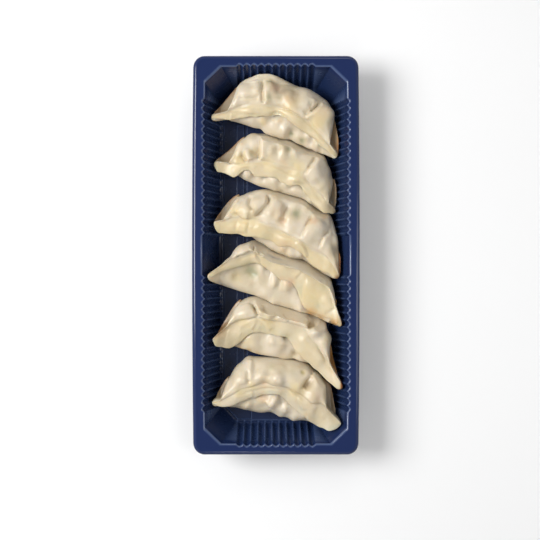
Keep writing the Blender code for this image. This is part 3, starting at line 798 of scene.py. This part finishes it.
soft_dough, shader, paint = start_material("soft_dough")
# The painted colour layer holds real stains and the shade painted into folds and deep pockets.
stain_and_shade = paint.node("ShaderNodeAttribute", {"attribute_name": "stain_and_shade"}, {})
stain_and_shade_amount = paint.node("ShaderNodeAttribute", {"attribute_name": "stain_and_shade"}, {}, out=3)
cooked = paint.node("ShaderNodeAttribute", {"attribute_name": "cook"}, {}, out=2)
cream = paint.mix(paint.noise(90.0, 4.0).spread(0.35, 0.7), DOUGH_PALE, DOUGH_DEEP)
cream = paint.mix(paint.noise(260.0, 3.0).spread(0.55, 0.75) * 0.35, cream, DOUGH_DRY)
stain_and_shade_share = (stain_and_shade_amount * (paint.noise(420.0, 3.0) * 0.8 + 0.6)).spread(0.0, 1.0)
crust = paint.mix(cooked.spread(0.55, 1.0), CRUST_LIGHT, CRUST_DARK)
browned = (cooked + (paint.noise(300.0, 4.0) - 0.5) * 0.5).spread(0.15, 0.75)
feed(shader, "Base Color", paint.mix(browned, paint.mix(stain_and_shade_share, cream, stain_and_shade), crust))
feed(shader, "Roughness", paint.noise(200.0, 3.0).spread(0.3, 0.7) * 0.16 + 0.29)
grain = paint.noise(900.0, 4.0) * 0.25 + paint.noise(240.0, 3.0) * 0.75
feed(shader, "Normal", paint.node("ShaderNodeBump", {}, {"Height": grain, "Strength": 0.5,
                                                         "Distance": 0.0005}))
shader.inputs["Subsurface Weight"].default_value = 0.6
shader.inputs["Subsurface Radius"].default_value = (1.0, 0.75, 0.5)
shader.inputs["Subsurface Scale"].default_value = 0.0026

made = []


def lay_colour(stain_and_shade, colour, share):
    """Lay one colour over the stains and painted shade so far, by a share from 0 to 1 at each
    point.
    """
    share = share[..., None]
    return stain_and_shade * (1 - share) + np.array((*STAIN_AND_SHADE_COLOURS[colour], 1.0)) * share


def make_dumpling(spec):
    """Model one dumpling on a grid that is bent round its section, and give it its dough.

    All places are millimetres in its own axes, from the middle of the line between its tips.
    front, crest, fin and back are read at even places from the left tip to the right one: how far
    forward its foot and the root of its seam lie, the seam's width, and where the back wall is.
    full, ends, tips and ears say how full the body's left and right ends are, where they end as a
    share of half, how high the seam stands there, and the ears' stain. browned is the height of
    the crust at the left, in the middle and at the right. steps, flaps, creases and ridges are
    (path, height, width), with a width below zero where a step is high on the path's left. lumps
    are (along, across, size, height), and tints (along, across, size, stain, strength).
    """
    random = np.random.default_rng(len(made) + FIRST_SEED)
    spec["dip"] = random.uniform(*DIP_RANGE, DIP_PLACES)
    spec["fray"] = random.uniform(-FRAY, FRAY, FRAY_PLACES)
    even = np.linspace(-1, 1, STATIONS)
    x = (1 - TIP_CROWDING) * even + TIP_CROWDING * np.sin(even * math.pi / 2)
    columns = section_columns(spec, x)
    rows, count = columns.shape[:2]
    along = np.broadcast_to((x * spec["half"])[:, None], (rows, count))
    local = np.stack((along, columns[..., 0], columns[..., 1]), axis=-1)
    crest_height = crest_line(spec, x)[:, None]
    lift = np.minimum(wall_lift(to_world(spec, local)), crest_height - 2.5)
    local[..., 2] = lift + local[..., 2] * (crest_height - lift) / crest_height
    u, v = local[..., 0].copy(), local[..., 1].copy()
    column = np.arange(count)[None, :] / SPAN_STEPS
    reach = (1 - smooth_step(np.abs(x), *RELIEF_REACH))[:, None]
    on_front, on_back, on_fin = (band(column, *b) for b in (FRONT_BAND, BACK_BAND, FIN_BAND))
    bumps = step_relief(spec["steps"], u, v) + line_relief(spec["creases"] + spec["ridges"], u, v)
    bumps += lump_relief(spec["lumps"], u, v)
    spots = [[random.uniform(*limits) for limits in
              (UNEVEN_ALONG, UNEVEN_ACROSS, UNEVEN_SIZE, UNEVEN_HEIGHT)]
             for _ in range(UNEVEN_SPOTS)]
    flare = front_lines(spec, x)[2][:, None]
    uneven = lump_relief(spots, u, v) * (1 - smooth_step(np.abs(x), *UNEVEN_REACH))[:, None]
    uneven = uneven * (1 - flare)
    total = (on_front + on_back) * reach * (bumps + uneven)
    total = total + on_fin * reach * (step_relief(spec["flaps"], u, v) + 0.5 * uneven)
    local = local + grid_normals(local) * total[..., None]

    world_points = to_world(spec, local)
    dents = np.clip(-DENT_DEPTH * total, 0.0, DENT_LIMIT)
    if len(made) < DUMPLING_COUNT - 1:
        limit = press_limit(spec, local) + 0.5 * GAP + dents
        local[..., 1] = -soft_cap(-local[..., 1], -limit)
        world_points = to_world(spec, local)
    if made:
        above = made[-1]
        local = to_local(above, world_points)
        local[..., 1] = soft_cap(local[..., 1], press_limit(above, local) - 0.5 * GAP - dents)
        world_points = to_world(above, local)
    world_points = press_walls(world_points)
    world_points[..., 2] += SEAT_HEIGHT

    bpy.ops.mesh.primitive_grid_add(x_subdivisions=count - 1, y_subdivisions=rows - 1)
    piece = bpy.context.object
    piece.name = spec["name"]
    piece.data.vertices.foreach_set("co", (world_points * MM).reshape(-1))
    stain_and_shade = np.zeros((rows, count, 4))
    stain_and_shade[..., :3] = STAIN_AND_SHADE_COLOURS["yellow"]
    stain_and_shade[..., 3] = band(column, *SEAM_STAIN_BAND) * spec["yellow"]
    ear = flare * (1 - smooth_step(column, *EAR_BAND))
    tip = smooth_step(np.abs(x), *TIP_STAIN_FROM)[:, None] * (1 - ear)
    rim = ear * (1 - smooth_step(column, *RIM_BAND))
    left = (x < 0)[:, None]
    stain_and_shade = lay_colour(stain_and_shade, "yellow", TIP_STAIN * tip)
    stain_and_shade = lay_colour(stain_and_shade, spec["ears"][0], EAR_STAIN * (ear * left))
    stain_and_shade = lay_colour(stain_and_shade, spec["ears"][1], EAR_STAIN * (ear * ~left))
    stain_and_shade = lay_colour(stain_and_shade, "brown", RIM_STAIN * rim)
    for x0, y0, size, colour, strength in spec["tints"]:
        spot = np.exp(-((u - x0) ** 2 + (v - y0) ** 2) / size ** 2)
        stain_and_shade = lay_colour(stain_and_shade, colour, min(TINT * strength, TINT_LIMIT) * spot)
    # Painted shade along the bottoms of the folds and creases.
    shade = FOLD_SHADE * on_front * crease_shade(spec["steps"] + spec["creases"], u, v)
    stain_and_shade = lay_colour(stain_and_shade, "fold", shade)
    layer = piece.data.attributes.new("stain_and_shade", "FLOAT_COLOR", "POINT")
    layer.data.foreach_set("color", stain_and_shade.reshape(-1))
    above_seat = world_points[..., 2] - SEAT_HEIGHT - lift
    crust_height = read_even(spec["browned"], x)[:, None]
    cook = 1 - smooth_step(above_seat, 0.15 * crust_height, crust_height)
    layer = piece.data.attributes.new("cook", "FLOAT", "POINT")
    layer.data.foreach_set("value", cook.reshape(-1))

    bpy.ops.object.mode_set(mode="EDIT")
    bpy.ops.mesh.select_all(action="SELECT")
    bpy.ops.mesh.remove_doubles(threshold=MERGE_WITHIN * MM)
    bpy.ops.mesh.select_all(action="DESELECT")
    bpy.ops.mesh.select_non_manifold()
    bpy.ops.mesh.edge_face_add()
    bpy.ops.mesh.select_all(action="SELECT")
    bpy.ops.mesh.normals_make_consistent(inside=False)
    bpy.ops.object.mode_set(mode="OBJECT")
    bpy.ops.object.shade_smooth()
    piece.data.materials.append(soft_dough)
    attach(piece, "root")
    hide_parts(spec["name"])
    made.append(spec)


# The first dumpling at the top of the tray. Its tallest pleat stands in a straight line left of
# its middle, and its seam is pressed in two layers that part near the middle.
make_dumpling(dict(
    name="gyoza_1",
    place=(-0.8, 71.0), turn=-17.3, half=39.5, height=21.5,
    full=(20, 16), ends=(0.79, 0.83), tips=(18.5, 14.0),
    ears=("tan", "tan"), yellow=0.5, browned=(3.0, 2.2, 4.0),
    front=(4.5, 14.9, 25.0, 28.5, 32.0, 33.8, 34.4, 34.4, 34.2, 34.2, 34.4, 34.0, 33.0, 31.0, 24.5,
           14.8, 6.9),
    crest=(0.5, 3.8, 8.8, 12.4, 14.9, 16.3, 16.8, 16.3, 14.9, 12.0, 8.6, 4.5, 1.0),
    fin=(1.0, 2.5, 4.6, 5.1, 5.3, 4.4, 3.1, 4.1, 5.0, 4.3, 3.5, 2.3, 1.0),
    back=(0.5, 2.5, 2.5, 1.5, 1.0, 1.5, -0.5, -0.3, -1.0),
    steps=((((-15.5, 30.5), (-14.5, 23), (-11.5, 16)), 1.6, -3),
           (((21, 29.5), (19, 24), (13.5, 15.5)), 1.3, -3.5),
           (((-28.5, 15.5), (-22, 18), (-15.5, 19.5)), 1, -3)),
    creases=((((-15.7, 27.5), (-14.2, 22.5), (-11.5, 16)), -0.9, 0.8),
             (((-28, 16), (-22, 17.5), (-15.5, 19)), -0.5, 1.1),
             (((20, 27.5), (18.7, 24.5), (16.5, 20)), -1.3, 0.9),
             (((15, 27), (15, 22), (12.5, 17.5)), -0.9, 1.4)),
    ridges=((((-21, 29), (-19, 25.5), (-19, 20.5)), 0.9, 1.8),
            (((16, 28.5), (15.5, 25), (14, 20)), 0.4, 1.5),
            (((-13.5, 32.5), (-12, 25), (-10, 17.5)), 0.7, 1.6)),
    lumps=((-9, 26, 3, 0.9), (-0.5, 24.5, 3.2, 0.4), (-6.5, 30.5, 3, -0.5), (7.5, 27.5, 4, 0.5),
           (-26.5, 22, 5, 0.7), (27, 20, 5, 0.7), (17.5, 14.5, 4, -0.7), (-23.5, 15, 5, -0.4),
           (-1, 9.5, 3.2, 1.3), (1.5, 9, 2.6, -0.6), (-9.5, 7, 2.6, 0.7), (5, 6, 2.6, 1.1),
           (9, 5, 2.2, -0.5), (19, 7.5, 2.8, 1.3), (16.5, 3.5, 2.2, -0.4), (25.5, 4.5, 2.8, 1.1),
           (-16, 6.5, 3, 0.5), (-5.5, 10.5, 2, -0.5), (11, 7.5, 2.5, -0.5), (22, 3, 2, -0.5)),
    tints=((-39.5, 5, 4, "brown", 0.35), (38, 6, 3, "brown", 0.35), (-12, 29.5, 3.2, "green", 0.6),
           (-10, 20.5, 2.5, "green", 0.55), (-8, 27, 4, "pink", 0.6),
           (-2.5, 26.5, 4.2, "filling", 0.5), (4.5, 26.5, 4.5, "filling", 0.5),
           (2, 22, 4, "pink", 0.5), (-5, 22.5, 2.5, "green", 0.35), (9, 4.5, 2, "green", 0.6),
           (16.5, 3, 2.5, "green", 0.6), (22, 16.5, 6, "yellow", 0.7), (3.5, 20, 6, "yellow", 0.4),
           (24.5, 23.5, 5, "pink", 0.3), (-9.5, 7, 3, "yellow", 0.5), (1, 10.5, 2, "pink", 0.4)),
    flaps=((((-8, 10.5), (-3.5, 14.5), (1, 14), (12, 9.5), (21, 7), (34.5, 2.5)), 0.7, -3),
           (((-30, 6.5), (-24, 8), (-18, 8.5), (-11, 11)), 0.5, -3)),
))

# The second dumpling. A narrow pleat stands beside a deep pocket at its left, its seam's left end
# is a rounded lobe, and a long crease runs down its right end.
make_dumpling(dict(
    name="gyoza_2",
    place=(-0.8, 40.3), turn=-21.6, half=39.3, height=21.0,
    full=(16, 16), ends=(0.79, 0.85), tips=(15.5, 11.5),
    ears=("tan", "tan"), yellow=0.5, browned=(2.8, 2.2, 3.0),
    front=(5.4, 11.8, 21.9, 26.6, 29.0, 30.3, 31.2, 32.0, 32.7, 33.0, 33.0, 32.0, 30.7, 26.5, 21.5,
           14.1, 3.6),
    crest=(1.0, 2.1, 4.1, 7.5, 10.6, 11.6, 12.0, 12.3, 12.1, 9.3, 5.8, 2.9, 1.0),
    fin=(2.6, 6.6, 6.7, 3.1, 6.6, 5.3, 5.0, 6.0, 4.4, 4.5, 5.0, 4.5, 2.0),
    back=(-1.0, 0.0, -1.1, -2.0, -0.8, -0.2, 0.6, -1.9, -1.0),
    steps=((((-18.5, 25.5), (-17, 19), (-14.5, 11)), 1.5, -2.6),
           (((-26, 12), (-22.5, 9.5), (-20.5, 8)), 1.1, -2.6),
           (((17, 28), (15.5, 21), (14, 13)), 1.4, -4.5)),
    creases=((((17, 26.5), (15.5, 21.5), (14.5, 18)), -0.9, 0.9),
             (((-17.5, 20), (-16.5, 16.5), (-15, 12)), -0.9, 1),
             (((-26.5, 13), (-24, 10), (-21, 7.5)), -1.0, 1.0)),
    ridges=((((-24.5, 15.5), (-22, 13), (-19, 10)), 0.8, 1.6),
            (((-17.5, 27), (-15, 20.5), (-12, 13)), 0.6, 1.7)),
    lumps=((-18.5, 16, 2.4, -1.5), (-16.5, 12.5, 2, -0.8), (-26, 9.5, 2.5, -1), (-9, 20, 2.6, 0.7),
           (-4, 24, 3.2, 1), (-2.5, 20, 2.8, 0.8), (2.5, 24.5, 2.8, 0.8), (-1, 24.5, 1.8, -0.8),
           (-7, 23, 2, -0.6), (-23, 20.5, 3.5, 0.6), (-28.5, 16, 4, 0.6), (8, 21, 6, -0.4),
           (24, 16, 6, 0.5), (-18.5, 2, 3.5, 1), (-14, 2, 2.5, -0.4), (-2.5, 4.5, 3.2, 1),
           (5.5, 5.5, 3, 0.8), (-8.5, 3.5, 2.2, -0.8), (9, 4.5, 1.8, -0.9), (23, 3, 3, 1.2),
           (14.5, 4.5, 3, 0.5)),
    tints=((-40.5, 5, 3, "brown", 0.3), (38, 3, 3, "brown", 0.3), (-19, 16.5, 3, "yellow", 0.4),
           (-20, 13.5, 2, "green", 0.4), (-9, 19.5, 3, "grey", 0.55), (-3.5, 23, 3, "grey", 0.4),
           (-0.5, 24.5, 2, "green", 0.6), (-0.5, 16, 4, "pink", 0.35), (3, 20.5, 3, "green", 0.35),
           (-25.5, 8, 5, "yellow", 0.6), (-9, 12.5, 4, "yellow", 0.5), (8, 16, 6, "yellow", 0.5),
           (-27.5, 17.5, 2, "pink", 0.35), (26, 12.5, 4, "yellow", 0.3), (4, 0.5, 2, "grey", 0.5),
           (31, 9, 5, "grey", 0.45), (36, 4, 4, "grey", 0.5)),
    flaps=((((-24, 2.5), (-19.5, 5.5), (-15, 5)), 0.5, -2.5),
           (((8.5, 7), (14, 9), (22, 6.5)), 0.5, -2.5),
           (((-19, 8), (-10.5, 11), (2.5, 11), (15.5, 10.5)), 0.4, 3)),
))

# The third dumpling. Its pleats run slanting to the seam, whose left end is a thin pale flap;
# its right end lies against the next dumpling.
make_dumpling(dict(
    name="gyoza_3",
    place=(-0.4, 1.3), turn=-22.0, half=40.8, height=21.5,
    full=(16, 8), ends=(0.89, 0.97), tips=(18.5, 17.0),
    ears=("tan", "tan"), yellow=0.65, browned=(6.0, 2.5, 5.0),
    front=(13.1, 22.8, 27.5, 30.8, 33.5, 35.4, 36.8, 37.6, 38.2, 38.0, 37.4, 35.9, 34.8, 31.2,
           24.2, 15.3, 6.3),
    crest=(3.0, 6.6, 10.1, 12.5, 12.9, 13.3, 12.8, 12.1, 11.5, 9.2, 9.1, 5.9, 1.5),
    fin=(3.0, 7.5, 7.4, 8.4, 7.0, 6.3, 6.2, 4.2, 4.2, 5.1, 6.7, 4.5, 1.5),
    back=(1.0, 3.0, 4.3, 2.5, 0.6, 1.5, 2.0, 0.0, -1.0),
    steps=((((-18, 31.5), (-16, 26), (-20, 15)), 1.3, 3),
           (((13, 30), (11.5, 23.5), (11, 14)), 1.4, -5),
           (((26, 25.5), (23.5, 20.5), (23.5, 12)), 1.2, -3),
           (((-32, 14.5), (-28, 12.5), (-22.5, 12.5)), 0.9, -3)),
    creases=((((-18, 31.5), (-14.5, 26.5), (-16.5, 20.0), (-20.0, 16.0)), -1.0, 1.1),
             (((-26.5, 27), (-25.5, 21.5), (-21.5, 18.5)), -1.1, 1.1),
             (((-3.5, 31), (-4.0, 25.0), (-2.0, 18.5)), -1.0, 1.3),
             (((13, 28.5), (12, 25.5), (11, 21.5)), -0.8, 0.9),
             (((26, 25), (24.5, 22.5), (23.5, 20.5)), -0.9, 0.9)),
    ridges=((((-12.5, 31.5), (-10.5, 26), (-12.5, 18)), 0.9, 2.2),
            (((-7.5, 30), (-7, 24.5), (-5.5, 18)), 0.8, 1.8),
            (((-22.5, 27.5), (-20.5, 22), (-22, 15)), 0.6, 2.2)),
    lumps=((-3.5, 19, 2.4, -1), (2.5, 27, 5, -0.9), (14.5, 22.5, 5.5, 1), (18.5, 31.5, 5, 0.4),
           (29.5, 22, 3, 0.4), (-29, 20.5, 5, 0.5), (-12, 27.5, 4, 0.5), (-30.5, 13.5, 3, -0.8),
           (-14.5, 14.5, 3, -0.4), (19.5, 26.5, 4, 0.5), (3.5, 5, 2.4, 1), (8.5, 4, 3, 1.1),
           (-2.5, 7, 3, 0.8), (6, 4, 1.8, -0.4), (-7.5, 7.5, 2.5, 0.4), (14, 5, 2.5, 0.6)),
    tints=((-43, 8, 3.2, "brown", 0.6), (33, 14, 4, "tan", 0.6), (38, 7.5, 3.5, "brown", 0.4),
           (3, 27, 4, "green", 0.7), (-31.5, 14, 4, "yellow", 0.6), (13.5, 25.5, 4, "pink", 0.5),
           (19, 32, 3, "pink", 0.5), (31.5, 15.5, 3.5, "grey", 0.8), (-3, 19, 3, "pink", 0.55),
           (-7.5, 23, 5, "pink", 0.35), (3.5, 5, 5, "pink", 0.35), (-21.5, 13, 6, "yellow", 0.4),
           (-22, 18.5, 3, "grey", 0.3), (40, 0.5, 1.6, "brown", 0.9),
           (-39.5, 14.5, 3, "grey", 0.5)),
    flaps=((((-22, 11.5), (-21.5, 8), (-20.5, 4.5)), 0.5, 3),
           (((9.5, 12.5), (14.5, 10), (19.5, 5.5)), 0.7, 1.6),
           (((-26.5, 3.5), (-27, 6.5), (-27.5, 9)), 0.5, 3),
           (((-18, 12.5), (-5, 11.5), (10, 12)), 0.4, 3)),
))

# The fourth dumpling has tipped forward, so its wide seam lies at the front and the lumps of its
# filling show on its back, browned along the lower edge.
make_dumpling(dict(
    name="gyoza_4",
    place=(-1.0, -27.8), turn=-20.3, half=42.4, height=22.0,
    full=(18, 10), ends=(0.87, 0.82), tips=(23.3, 20.5),
    ears=("tan", "toast"), yellow=0.5, browned=(2.2, 4.5, 6.0),
    front=(3.5, 12.2, 22.8, 28.9, 31.8, 32.6, 32.9, 32.8, 32.7, 32.6, 31.0, 28.9, 27.0, 24.6, 19.3,
           10.3, 2.5),
    crest=(1.5, 10.9, 17.2, 23.1, 26.3, 26.8, 26.3, 24.9, 23.2, 21.2, 16.3, 8.9, 1.3),
    fin=(1.8, 3.8, 5.0, 4.9, 6.6, 9.6, 10.9, 9.5, 15.1, 16.8, 12.7, 5.9, 1.5),
    back=(-1.5, -2.0, -1.5, -1.0, -1.2, -1.0, 0.0, -0.5, -0.5),
    steps=((((-22.5, 31), (-22, 27.5), (-21, 24.5)), 1.2, -2),),
    creases=((((-30.5, 16.5), (-27, 18.5), (-23, 23.5)), -0.8, 1.2),),
    ridges=((((-6.5, 15.5), (-4.5, 12.5), (-3, 7.5)), 1.5, 1.8),
            (((1.5, 15), (3, 12), (3.5, 7.5)), 1.6, 2.1),
            (((6.5, 16.5), (9, 13), (11.5, 9)), 0.7, 1.3)),
    lumps=((-18, 28, 2.5, -1.2), (-28, 21.5, 5, 0.5), (-13.5, 30, 4, 0.3), (-6, 14.5, 2.4, -0.2),
           (-7, 3, 3.5, 0.8), (-20, 11.5, 5, -0.8), (-17, 11.5, 2.5, -0.5), (-1, 11, 2, -0.7),
           (-26.5, 7.5, 6, 0.2), (-11, 19, 3, -0.9), (14, 6.5, 4, 0.5), (24.5, 10, 5, -0.3),
           (17, 14, 3, -0.5)),
    tints=((23, 1, 4, "toast", 0.6), (30, 0.5, 3, "toast", 0.5), (38, 0.5, 3.5, "toast", 0.6),
           (-20, 13, 5, "green", 0.6), (-16.5, 11, 3, "green", 0.6), (-27, 6, 5, "yellow", 0.5),
           (5, 14, 3.5, "pink", 0.6), (-0.5, 14.5, 2, "pink", 0.35), (-10, 10, 4, "grey", 0.3),
           (20, 11, 6, "yellow", 0.5), (-20, 28, 2.5, "pink", 0.3), (-38, 4.5, 3, "grey", 0.3),
           (25, 20, 4, "green", 0.35)),
    flaps=((((-20.5, 23), (-18, 21), (-15.5, 19)), 0.6, 2),
           (((10, 24.5), (8.5, 21), (7, 17)), 0.6, 4),
           (((35, 10), (33, 7), (30.5, 4)), 0.5, 3),
           (((-28, 17), (-23.5, 21.5), (-20.5, 24)), 0.4, 2),
           (((13.5, 19.5), (13.5, 14.5), (15.5, 7)), 0.5, -3)),
))

# The fifth dumpling. Its seam is folded into a fan at the left and runs out in a long flat strip
# at the right, past a deep pocket; both ends of its base are fried brown.
make_dumpling(dict(
    name="gyoza_5",
    place=(0.3, -66.1), turn=-20.7, half=41.2, height=21.5,
    full=(20, 7), ends=(0.87, 0.70), tips=(19.0, 20.5),
    ears=("tan", "toast"), yellow=0.4, browned=(7.0, 4.0, 9.0),
    front=(3.0, 25.8, 31.4, 33.9, 35.2, 35.9, 36.5, 36.7, 36.8, 36.7, 36.5, 36.0, 31.7, 24.8, 15.5,
           9.7, 3.2),
    crest=(2.0, 13.2, 19.2, 23.0, 24.0, 25.2, 26.3, 25.7, 22.4, 18.4, 13.0, 7.1, 2.5),
    fin=(4.0, 14.0, 15.5, 8.5, 7.2, 7.1, 7.0, 11.1, 10.9, 10.1, 7.8, 5.0, 2.5),
    back=(0.0, 0.8, 1.3, 2.0, 4.2, 6.7, 7.0, 3.0, -1.0),
    steps=((((-28, 30.5), (-23, 25.5), (-20, 23)), 1.2, 4.5),
           (((-8, 35.5), (-5.5, 31.5), (-2, 29.5)), 1.1, 4),
           (((9.5, 36.5), (9.5, 32.5), (9.5, 27.5)), 1.3, 3)),
    creases=((((-25.5, 30), (-23, 26.5), (-20.5, 23.5)), -1.1, 0.9),
             (((-12.5, 34), (-11.5, 30), (-10, 27)), -0.9, 1.2),
             (((-20.5, 34.5), (-19, 31), (-18.5, 27.5)), -1.0, 2.0),
             (((13.5, 35.5), (11.5, 31), (10, 27)), -0.4, 1.4)),
    ridges=((((-17, 34), (-16, 29.5), (-14.5, 25)), 1.1, 2.0),
            (((-23, 33.5), (-21.5, 29.5), (-20, 25)), 0.8, 1.3),
            (((-8, 35.5), (-6, 32), (-4, 29.5)), 0.9, 2.0)),
    lumps=((-26.5, 30, 2.2, -0.8), (11, 33.5, 3.4, -1.6), (10.5, 29.5, 2.4, -0.8),
           (-30, 23, 4.5, 0.8), (0.5, 31.5, 2, -0.5), (13.5, 27.5, 3.2, 1.6),
           (16.5, 32.5, 3.5, 0.9), (22.5, 26, 3.5, 1.1), (18.5, 25.5, 1.8, -0.7),
           (-14, 31.5, 4, 0.6), (-32, 16, 4, 0.4), (-7.5, 13, 2.8, 1.2), (-1.5, 14.5, 3, 0.9),
           (-21.5, 9, 4, 0.6), (-14, 11, 2.5, -0.5), (-0.5, 18, 2.2, -1.6), (8, 10.5, 2.2, -1),
           (4.5, 13.5, 3, 0.5), (-17, 6, 3, 0.4), (14.5, 9, 3, 0.3)),
    # The tan tints at (11, 33.5), (10, 29.5) and (8, 10) are painted shade in the deep pocket and
    # dents.
    tints=((-40.5, 9.5, 4.5, "toast", 0.65), (-42.5, 7, 4.5, "brown", 0.6),
           (-24, 1.5, 2.2, "toast", 0.5), (-18.5, 1.8, 2.2, "toast", 0.6),
           (-13, 2.2, 2, "toast", 0.45), (30, 18.5, 4, "toast", 0.6), (34.5, 13, 4, "toast", 0.6),
           (-18.5, 29.5, 3.5, "grey", 0.7), (11, 33.5, 3.2, "tan", 1), (10, 29.5, 2.2, "tan", 0.9),
           (23, 25.5, 4, "grey", 0.55), (1, 31, 4, "pink", 0.45), (-4.5, 35.5, 5, "pink", 0.25),
           (-0.5, 18.5, 2.4, "green", 0.4), (8, 10, 2.2, "tan", 0.6),
           (-21.5, 8.5, 5, "yellow", 0.4), (-28, 18, 4, "yellow", 0.5),
           (-13.5, 23, 6, "yellow", 0.4), (-34, 3.5, 6, "grey", 0.35),
           (-25.5, 28.5, 1.6, "green", 0.5), (1, 6.5, 3, "tan", 0.4)),
    flaps=((((-20.5, 22.5), (-24, 18), (-28.5, 13)), 0.6, 3),
           (((-20, 22.5), (-20.5, 18.5), (-21, 14.5)), 0.5, 2),
           (((-19.5, 23), (-15.5, 20.5), (-11.5, 17.5)), 0.6, -3),
           (((-35, 11), (-30, 11.5), (-26, 12)), 0.5, 3),
           (((9, 24.5), (18, 19), (28, 13.5)), 0.4, 3)),
))

# The sixth dumpling. A straight raised pleat stands at its left and a deep pocket at its right;
# the seam lies in two layers, and its right end spreads into a broad ear.
make_dumpling(dict(
    name="gyoza_6",
    place=(-0.3, -97.1), turn=-12.0, half=38.8, height=21.5,
    full=(20, 6), ends=(0.88, 0.73), tips=(19.0, 20.5),
    ears=("tan", "tan"), yellow=0.25, browned=(2.5, 2.2, 2.5),
    front=(2.6, 15.1, 21.8, 29.6, 31.5, 32.5, 33.4, 34.2, 34.8, 34.8, 34.8, 33.8, 31.3, 28.0, 24.3,
           13.0, 5.2),
    crest=(1.5, 3.5, 9.4, 13.8, 16.5, 18.2, 18.6, 17.9, 15.9, 13.1, 12.5, 8.5, 5.0),
    fin=(1.0, 2.5, 6.0, 6.2, 5.2, 4.5, 4.4, 7.0, 8.7, 9.3, 11.0, 8.0, 3.0),
    back=(-0.5, -0.8, -0.2, -0.6, 0.5, 0.3, 0.8, 0.5, 2.0),
    steps=((((-22.5, 24), (-21.5, 20.5), (-20.5, 16.5)), 0.9, 3),
           (((18, 31.5), (15, 27), (12, 19.5)), 1.6, -4)),
    creases=((((-22, 23.5), (-21.5, 20), (-20.5, 17)), -0.4, 1.0),
             (((-19, 30), (-18, 25.5), (-17, 20)), -0.35, 1.2),
             (((17, 29), (15.5, 25), (13, 20.5)), -1.2, 1.5)),
    ridges=((((-21.5, 30.5), (-20.5, 25), (-19.5, 19)), 0.9, 1.4),
            (((-2, 12.5), (-3, 9.5), (-5.5, 5.5)), 1.6, 2.2),
            (((1, 12), (3.5, 10), (5, 6.5)), 0.6, 1.5)),
    lumps=((-27.5, 17, 4, 0.8), (-13.5, 23, 2.6, 0.9), (-5, 24.5, 3.2, 1), (-1.5, 22.5, 2, 0.5),
           (-9.5, 25.5, 2.2, -0.6), (15.5, 25, 2.4, -2), (13.5, 22, 2, -1.2), (22, 24, 4.5, 0.9),
           (10.5, 30.5, 1.6, -0.4), (-27, 23.5, 3, 0.5), (3, 28, 4, 0.4), (-9.5, 18.5, 3, -0.3),
           (-24.5, 13, 3, -0.3), (4.5, 6, 3.2, 1.4), (-10.5, 8.5, 3.5, 0.5), (1, 9.5, 2.2, -0.8),
           (-5.5, 9.5, 1.8, -0.6), (17.5, 5.5, 2.2, 0.9), (-18.5, 4, 3, 0.3), (13, 5.5, 3, 0.3)),
    # The tan tints at (15.5, 24.5) and (14, 22) are painted shade in the deep pocket.
    tints=((-8, 29.5, 3, "green", 0.35), (10.5, 30, 1.8, "olive", 0.8),
           (15.5, 24.5, 2.6, "tan", 0.8), (14, 22, 2, "tan", 0.9), (-11, 19, 4, "pink", 0.45),
           (-4, 21, 3, "pink", 0.3), (-18, 16.5, 3, "yellow", 0.8), (-24, 11, 4, "yellow", 0.5),
           (8.5, 20, 6, "yellow", 0.5), (22, 18.5, 5, "pink", 0.4), (-9.5, 9.5, 3.5, "pink", 0.55),
           (4.5, 29.5, 4, "green", 0.3), (17.5, 6, 2.2, "pink", 0.4), (31, 11, 8, "grey", 0.5),
           (11.5, 17.5, 3, "tan", 0.3)),
    flaps=((((-23, 11), (-15, 14.5), (-5, 18), (3.5, 17.5), (7.5, 13)), 0.6, -2),
           (((10, 16), (12, 12), (14.5, 7)), 0.6, -2.5),
           (((-15, 10), (-16, 11.5), (-17, 13)), 0.5, -2),
           (((12, 18), (16.5, 13.5), (21.5, 8.5)), 0.5, -4)),
))
